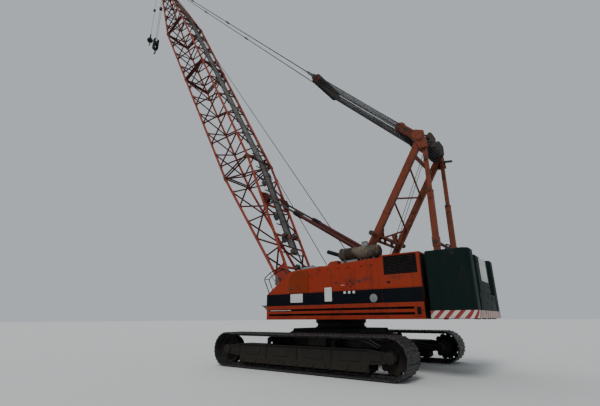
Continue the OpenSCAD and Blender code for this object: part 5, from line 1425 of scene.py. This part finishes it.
# Door: window, gasket, handle, stripe and hinge leaves ride on the door
part = Mesh()
window(part, 1.012, 1.628, 2.622, 3.338, mid, "y")
gasket(part, 1.05, 1.59, 2.66, 3.3, 0.07, OUT + 0.001, "y", 0.05, 0.007)
gasket(part, 0.935, 1.685, 2.13, 3.395, 0.05, OUT + 0.001, "y", 0.012, 0.004)
part.panel(rect(0.905, 1.715, 2.104, 2.43), OUT, 0.005, 3, 0.002, 0.003)
part.panel(pad(1.62, 2.54, 0.06, 0.04, 0.02), OUT, 0.014, 2, 0.003, 0.002)
part.tube([(1.585, OUT - 0.01, 2.54), (1.585, OUT - 0.045, 2.54), (1.66, OUT - 0.045, 2.54)], 0.009, 8, 2)
part.disc([(0.014, -0.018), (0.014, 0.0)], (1.655, OUT - 0.012, 2.46), "y", 12, 2)
for z in (2.37, 3.16):
    part.panel(pad(0.9675, z, 0.0525, 0.045, 0.01), OUT, 0.01, 4, 0.002, 0.001)
    for x, dz in ((0.95, 0.022), (0.95, -0.022), (1.0, 0.022), (1.0, -0.022)):
        part.bolt(x, OUT - 0.01, z + dz, -1, 0.008, 0.006, 2)
part.block(1.2, 1.45, OUT + 0.052, OUT + 0.075, 2.45, 2.53, 2, 0.006)
part.make("cab_door_parts", "cab_door", [GLASS, RUBBER, BLACK, NAVY, ORANGE], "body_paint")

# Seat, console, levers and pedals
part = Mesh()
cy = -1.41
KNOB = [(0, 0), (0.016, 0.01), (0.02, 0.04), (0.012, 0.07), (0, 0.075)]
BUTTON = [(0, -0.005), (0.018, 0.0), (0.022, 0.03), (0.012, 0.05), (0, 0.052)]
part.box(1.24, cy, 2.08, 0.26, 0.24, 0.02, 1, 0.01)
part.box(1.235, cy, 2.22, 0.185, 0.18, 0.12, 1, 0.02)
for k in range(5):
    part.box(1.235, cy, 2.139 + 0.04 * k, 0.19, 0.185, 0.009, 2, 0.006)
for y in (cy - 0.3, cy + 0.3):
    part.box(1.285, y, 2.59, 0.265, 0.035, 0.03, 1, 0.02)
    part.box(1.3, y, 2.33, 0.15, 0.02, 0.23, 1, 0.01)
    part.tube([(1.5, y, 2.61), (1.52, y, 2.72)], 0.009, 8, 2)
    part.lathe(KNOB, (1.522, y, 2.71), "z", 12, 1, False)
part.box(2.025, cy, 2.29, 0.125, 0.26, 0.23, 1, 0.03)
part.plate([(1.86, 2.5), (2.16, 2.5), (2.16, 2.72), (2.06, 2.74), (1.88, 2.6)], cy, 0.27, 1, 0.012)
for k in range(4):
    y = cy - 0.18 + 0.12 * k
    part.tube([(1.88, y, 2.5), (1.8, y, 2.74)], 0.009, 8, 2)
    part.lathe(BUTTON, (1.798, y, 2.735), "z", 12, 1, False)
    part.disc([(0.038, -0.01), (0.038, 0.004), (0.032, 0.006)], (1.99, y, 2.7), "z", 20, 2)
for k in range(3):
    part.prism(pad(0, 0, 0.04, 0.07, 0.015), -0.01, 0.01, "x", 1, 0.003, (1.8, cy - 0.15 + 0.15 * k, 2.16))
part.make("cab_seat_frame", "upper", [BLACK, PLASTIC, STEEL], "body_paint", ["cab_seat"])


def cushion(name, size, matrix, channels):
    """Crowned pad whose sides pull in between its corners, with sewn channels across it."""
    lx, ly, lz = size
    nx, ny, pinch = 26, 22, 0.02
    verts, faces = [], []
    for layer in (0, 1):
        for i in range(nx + 1):
            for j in range(ny + 1):
                u, v = 2 * i / nx - 1, 2 * j / ny - 1
                edge = ((1 - abs(u) ** 5) * (1 - abs(v) ** 5)) ** 0.45
                height = lz / 2 * edge * (0.62 + 0.38 * (1 - u * u * 0.8) * (1 - v * v * 0.8))
                if layer == 0 and abs(v) < 0.86:
                    height -= sum(0.011 * exp(-((u - c) / 0.045) ** 2) * edge for c in channels)
                verts.append((u * lx / 2 * (1 - pinch * (1 - v * v) * abs(u) ** 6),
                              v * ly / 2 * (1 - pinch * (1 - u * u) * abs(v) ** 6),
                              -height * 0.55 if layer else height))
                if i < nx and j < ny:
                    a = (layer * (nx + 1) + i) * (ny + 1) + j
                    faces.append([a, a + ny + 1, a + ny + 2, a + 1][::1 - 2 * layer])
    part = Mesh()
    part.add(verts, faces)
    seam = [[max(-1, min(1, 1.42 * t)) * 0.985 / 2 for t in point] for point in circle(1, 64)]
    part.tube([(u * lx, v * ly, 0.0) for u, v in seam], 0.006, 8, 1, closed=True)
    obj = part.place(matrix).make(name, "upper", [FABRIC, RUBBER], "body_paint", auto=70)
    sub = obj.modifiers.new("smooth", "SUBSURF")
    sub.levels = sub.render_levels = 1


BACK = lean(radians(80)) @ Matrix.Rotation(pi, 4, "Z")
cushion("seat_cushion", (0.5, 0.48, 0.15), shift(1.27, cy, 2.405) @ lean(radians(5)), (-0.45, 0.0, 0.45))
cushion("seat_back_pad", (0.62, 0.46, 0.13), shift(1.045, cy, 2.79) @ BACK, (-0.5, -0.1, 0.3))
cushion("seat_head_pad", (0.18, 0.28, 0.1), shift(0.985, cy, 3.2) @ BACK, (0.0,))

# Right house side
part = Mesh()
part.panel(rounded(-2.36, -0.36, DOOR_Z, 3.19, 0.03), -SIDE, 0.006, 0, 0.002, SKIN)
for x in (-1.02, -1.7):
    part.block(x - 0.004, x + 0.004, -SIDE - 0.0085, -SIDE - 0.002, 2.47, 3.17, 2, 0.001)
for x in (-0.55, -1.2, -1.9):
    latch(part, x, 2.72, -SIDE - 0.006)
part.disc([(0.05, -0.024), (0.062, -0.014), (0.062, 0.002)], (-1.38, -SIDE, 2.64), "y", 24, 1)
for x in (-1.75, -1.22):
    handle(part, x, 3.02, -SIDE - 0.006, 0.18, 0.05, 3)
part.panel(rounded(-1.05, -0.42, 2.82, 3.12, 0.03), -SIDE - 0.004, 0.006, 2)
part.block(-2.42, -2.26, -SIDE - 0.012, -SIDE + 0.002, 3.2, 3.36)
part.block(-1.4, -0.6, -SIDE - 0.01, -SIDE + 0.002, 2.045, 2.062, 3, 0.003)
part.tube([(-3.3, -SIDE - 0.03, 1.995), (-0.5, -SIDE - 0.03, 1.995)], 0.01, 8, 1)
for k in range(5):
    x = -3.2 + 0.65 * k
    part.tube([(x, -SIDE + 0.002, 1.975), (x, -SIDE - 0.03, 1.995)], 0.008, 8, 1)
part.make("right_house_panels", "upper", [ORANGE, BLACK, DARK, WHITE], "body_paint")

# Front of the machine between the houses: boom foot brackets, hoses and a walkway plate
part = Mesh()
for s in BOTH:
    for o in BOTH:
        cap = [(0.085, 0), (0.085, o * 0.012), (0.06, o * 0.02)]
        part.disc(cap, (PIN_X, s * HALF + o * 0.083, PIN_Z), "y", 24, 1)
    part.prism(pad(2.1, s * 0.45, 0.17, 0.13, 0.03), DECK, 2.03, "z", 0, 0.004)
    for x, o in ((1.97, -0.09), (1.97, 0.09), (2.23, -0.09), (2.23, 0.09)):
        part.bolt(x, s * 0.45 + o, 2.03, "+z", 0.014, 0.012, 1)
for y in (-0.3, -0.1, 0.1, 0.3):
    hose = ((2.24, 1, 2.036), (2.0, 1, 2.046), (1.6, 0.8, 2.045), (1.16, 0.6, 2.05), (0.3, 0.6, 2.036))
    part.tube([(x, y * share, z) for x, share, z in hose], 0.022, 8, 2)
part.block(0.55, 1.15, -0.55, 0.55, DECK, 2.05, 1, 0.01)
for k in range(8):
    part.block(2.302, 2.312, -1.28 + 0.36 * k, -1.24 + 0.36 * k, 1.56, 1.98, 1, 0.003)
part.make("deck_fittings", "upper", [ORANGE, STEEL, RUBBER], "body_paint")

# CAD nodes that stay
STAYING = {
    UNDER: ["track_frame_left", "track_frame_right", "sprocket_left", "sprocket_right", "idler_left",
            "idler_right", "rollers_left", "rollers_right", "travel_drive_left",
            "travel_drive_right", "carbody", "swing_ring"],
    BLACK: ["deck_frame", "engine_block"],
    ORANGE: ["side_rail_left", "side_rail_right", "house_left", "house_right", "engine_hood",
             "cab_shell", "cab_door"],
    GANTRY: ["gantry_front_legs", "gantry_rear_posts", "gantry_head"],
    RIGGING: ["backstop_rod_left", "backstop_rod_right"],
}
for material, names in STAYING.items():
    for name in names:
        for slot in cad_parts[name].material_slots:
            slot.material = material

# Floor, light and camera
n = Nodes("studio_floor")
n.done(n.mix(n.noise(0.4, 3), (0.56, 0.56, 0.55), (0.6, 0.6, 0.59)), 0.85)
floor = bpy.data.objects.new("studio_floor", bpy.data.meshes.new("studio_floor"))
floor.data.from_pydata([(-400, -400, 0), (400, -400, 0), (400, 400, 0), (-400, 400, 0)], [], [(0, 1, 2, 3)])
floor.data.materials.append(n.material)
bpy.context.scene.collection.objects.link(floor)

world = bpy.data.worlds.new("soft_sky")
world.use_nodes = True
world.node_tree.nodes["Background"].inputs["Color"].default_value = (0.8, 0.87, 0.92, 1.0)
world.node_tree.nodes["Background"].inputs["Strength"].default_value = 0.58
bpy.context.scene.world = world


def sun(name, strength, angle, turn):
    light = bpy.data.objects.new(name, bpy.data.lights.new(name, "SUN"))
    light.data.energy = strength
    light.data.angle = radians(angle)
    light.rotation_euler = [radians(a) for a in turn]
    bpy.context.scene.collection.objects.link(light)


sun("key", 1.7, 25, (42, 0, 200))
sun("fill", 0.5, 60, (55, 0, 60))

FORWARD = Vector((0.563, -0.766, 0.31)).normalized()
camera = bpy.data.objects.new("camera", bpy.data.cameras.new("camera"))
right = FORWARD.cross(Vector((0, 0, 1))).normalized()
turn = Matrix((right, right.cross(FORWARD), -FORWARD)).transposed().to_4x4()
camera.matrix_world = shift(-7.106, 12.22, 1.554) @ turn @ Matrix.Rotation(radians(-0.31), 4, "Z")
camera.data.sensor_width = 36
camera.data.lens = 21.32
camera.data.clip_end = 500
bpy.context.scene.collection.objects.link(camera)
bpy.context.scene.camera = camera
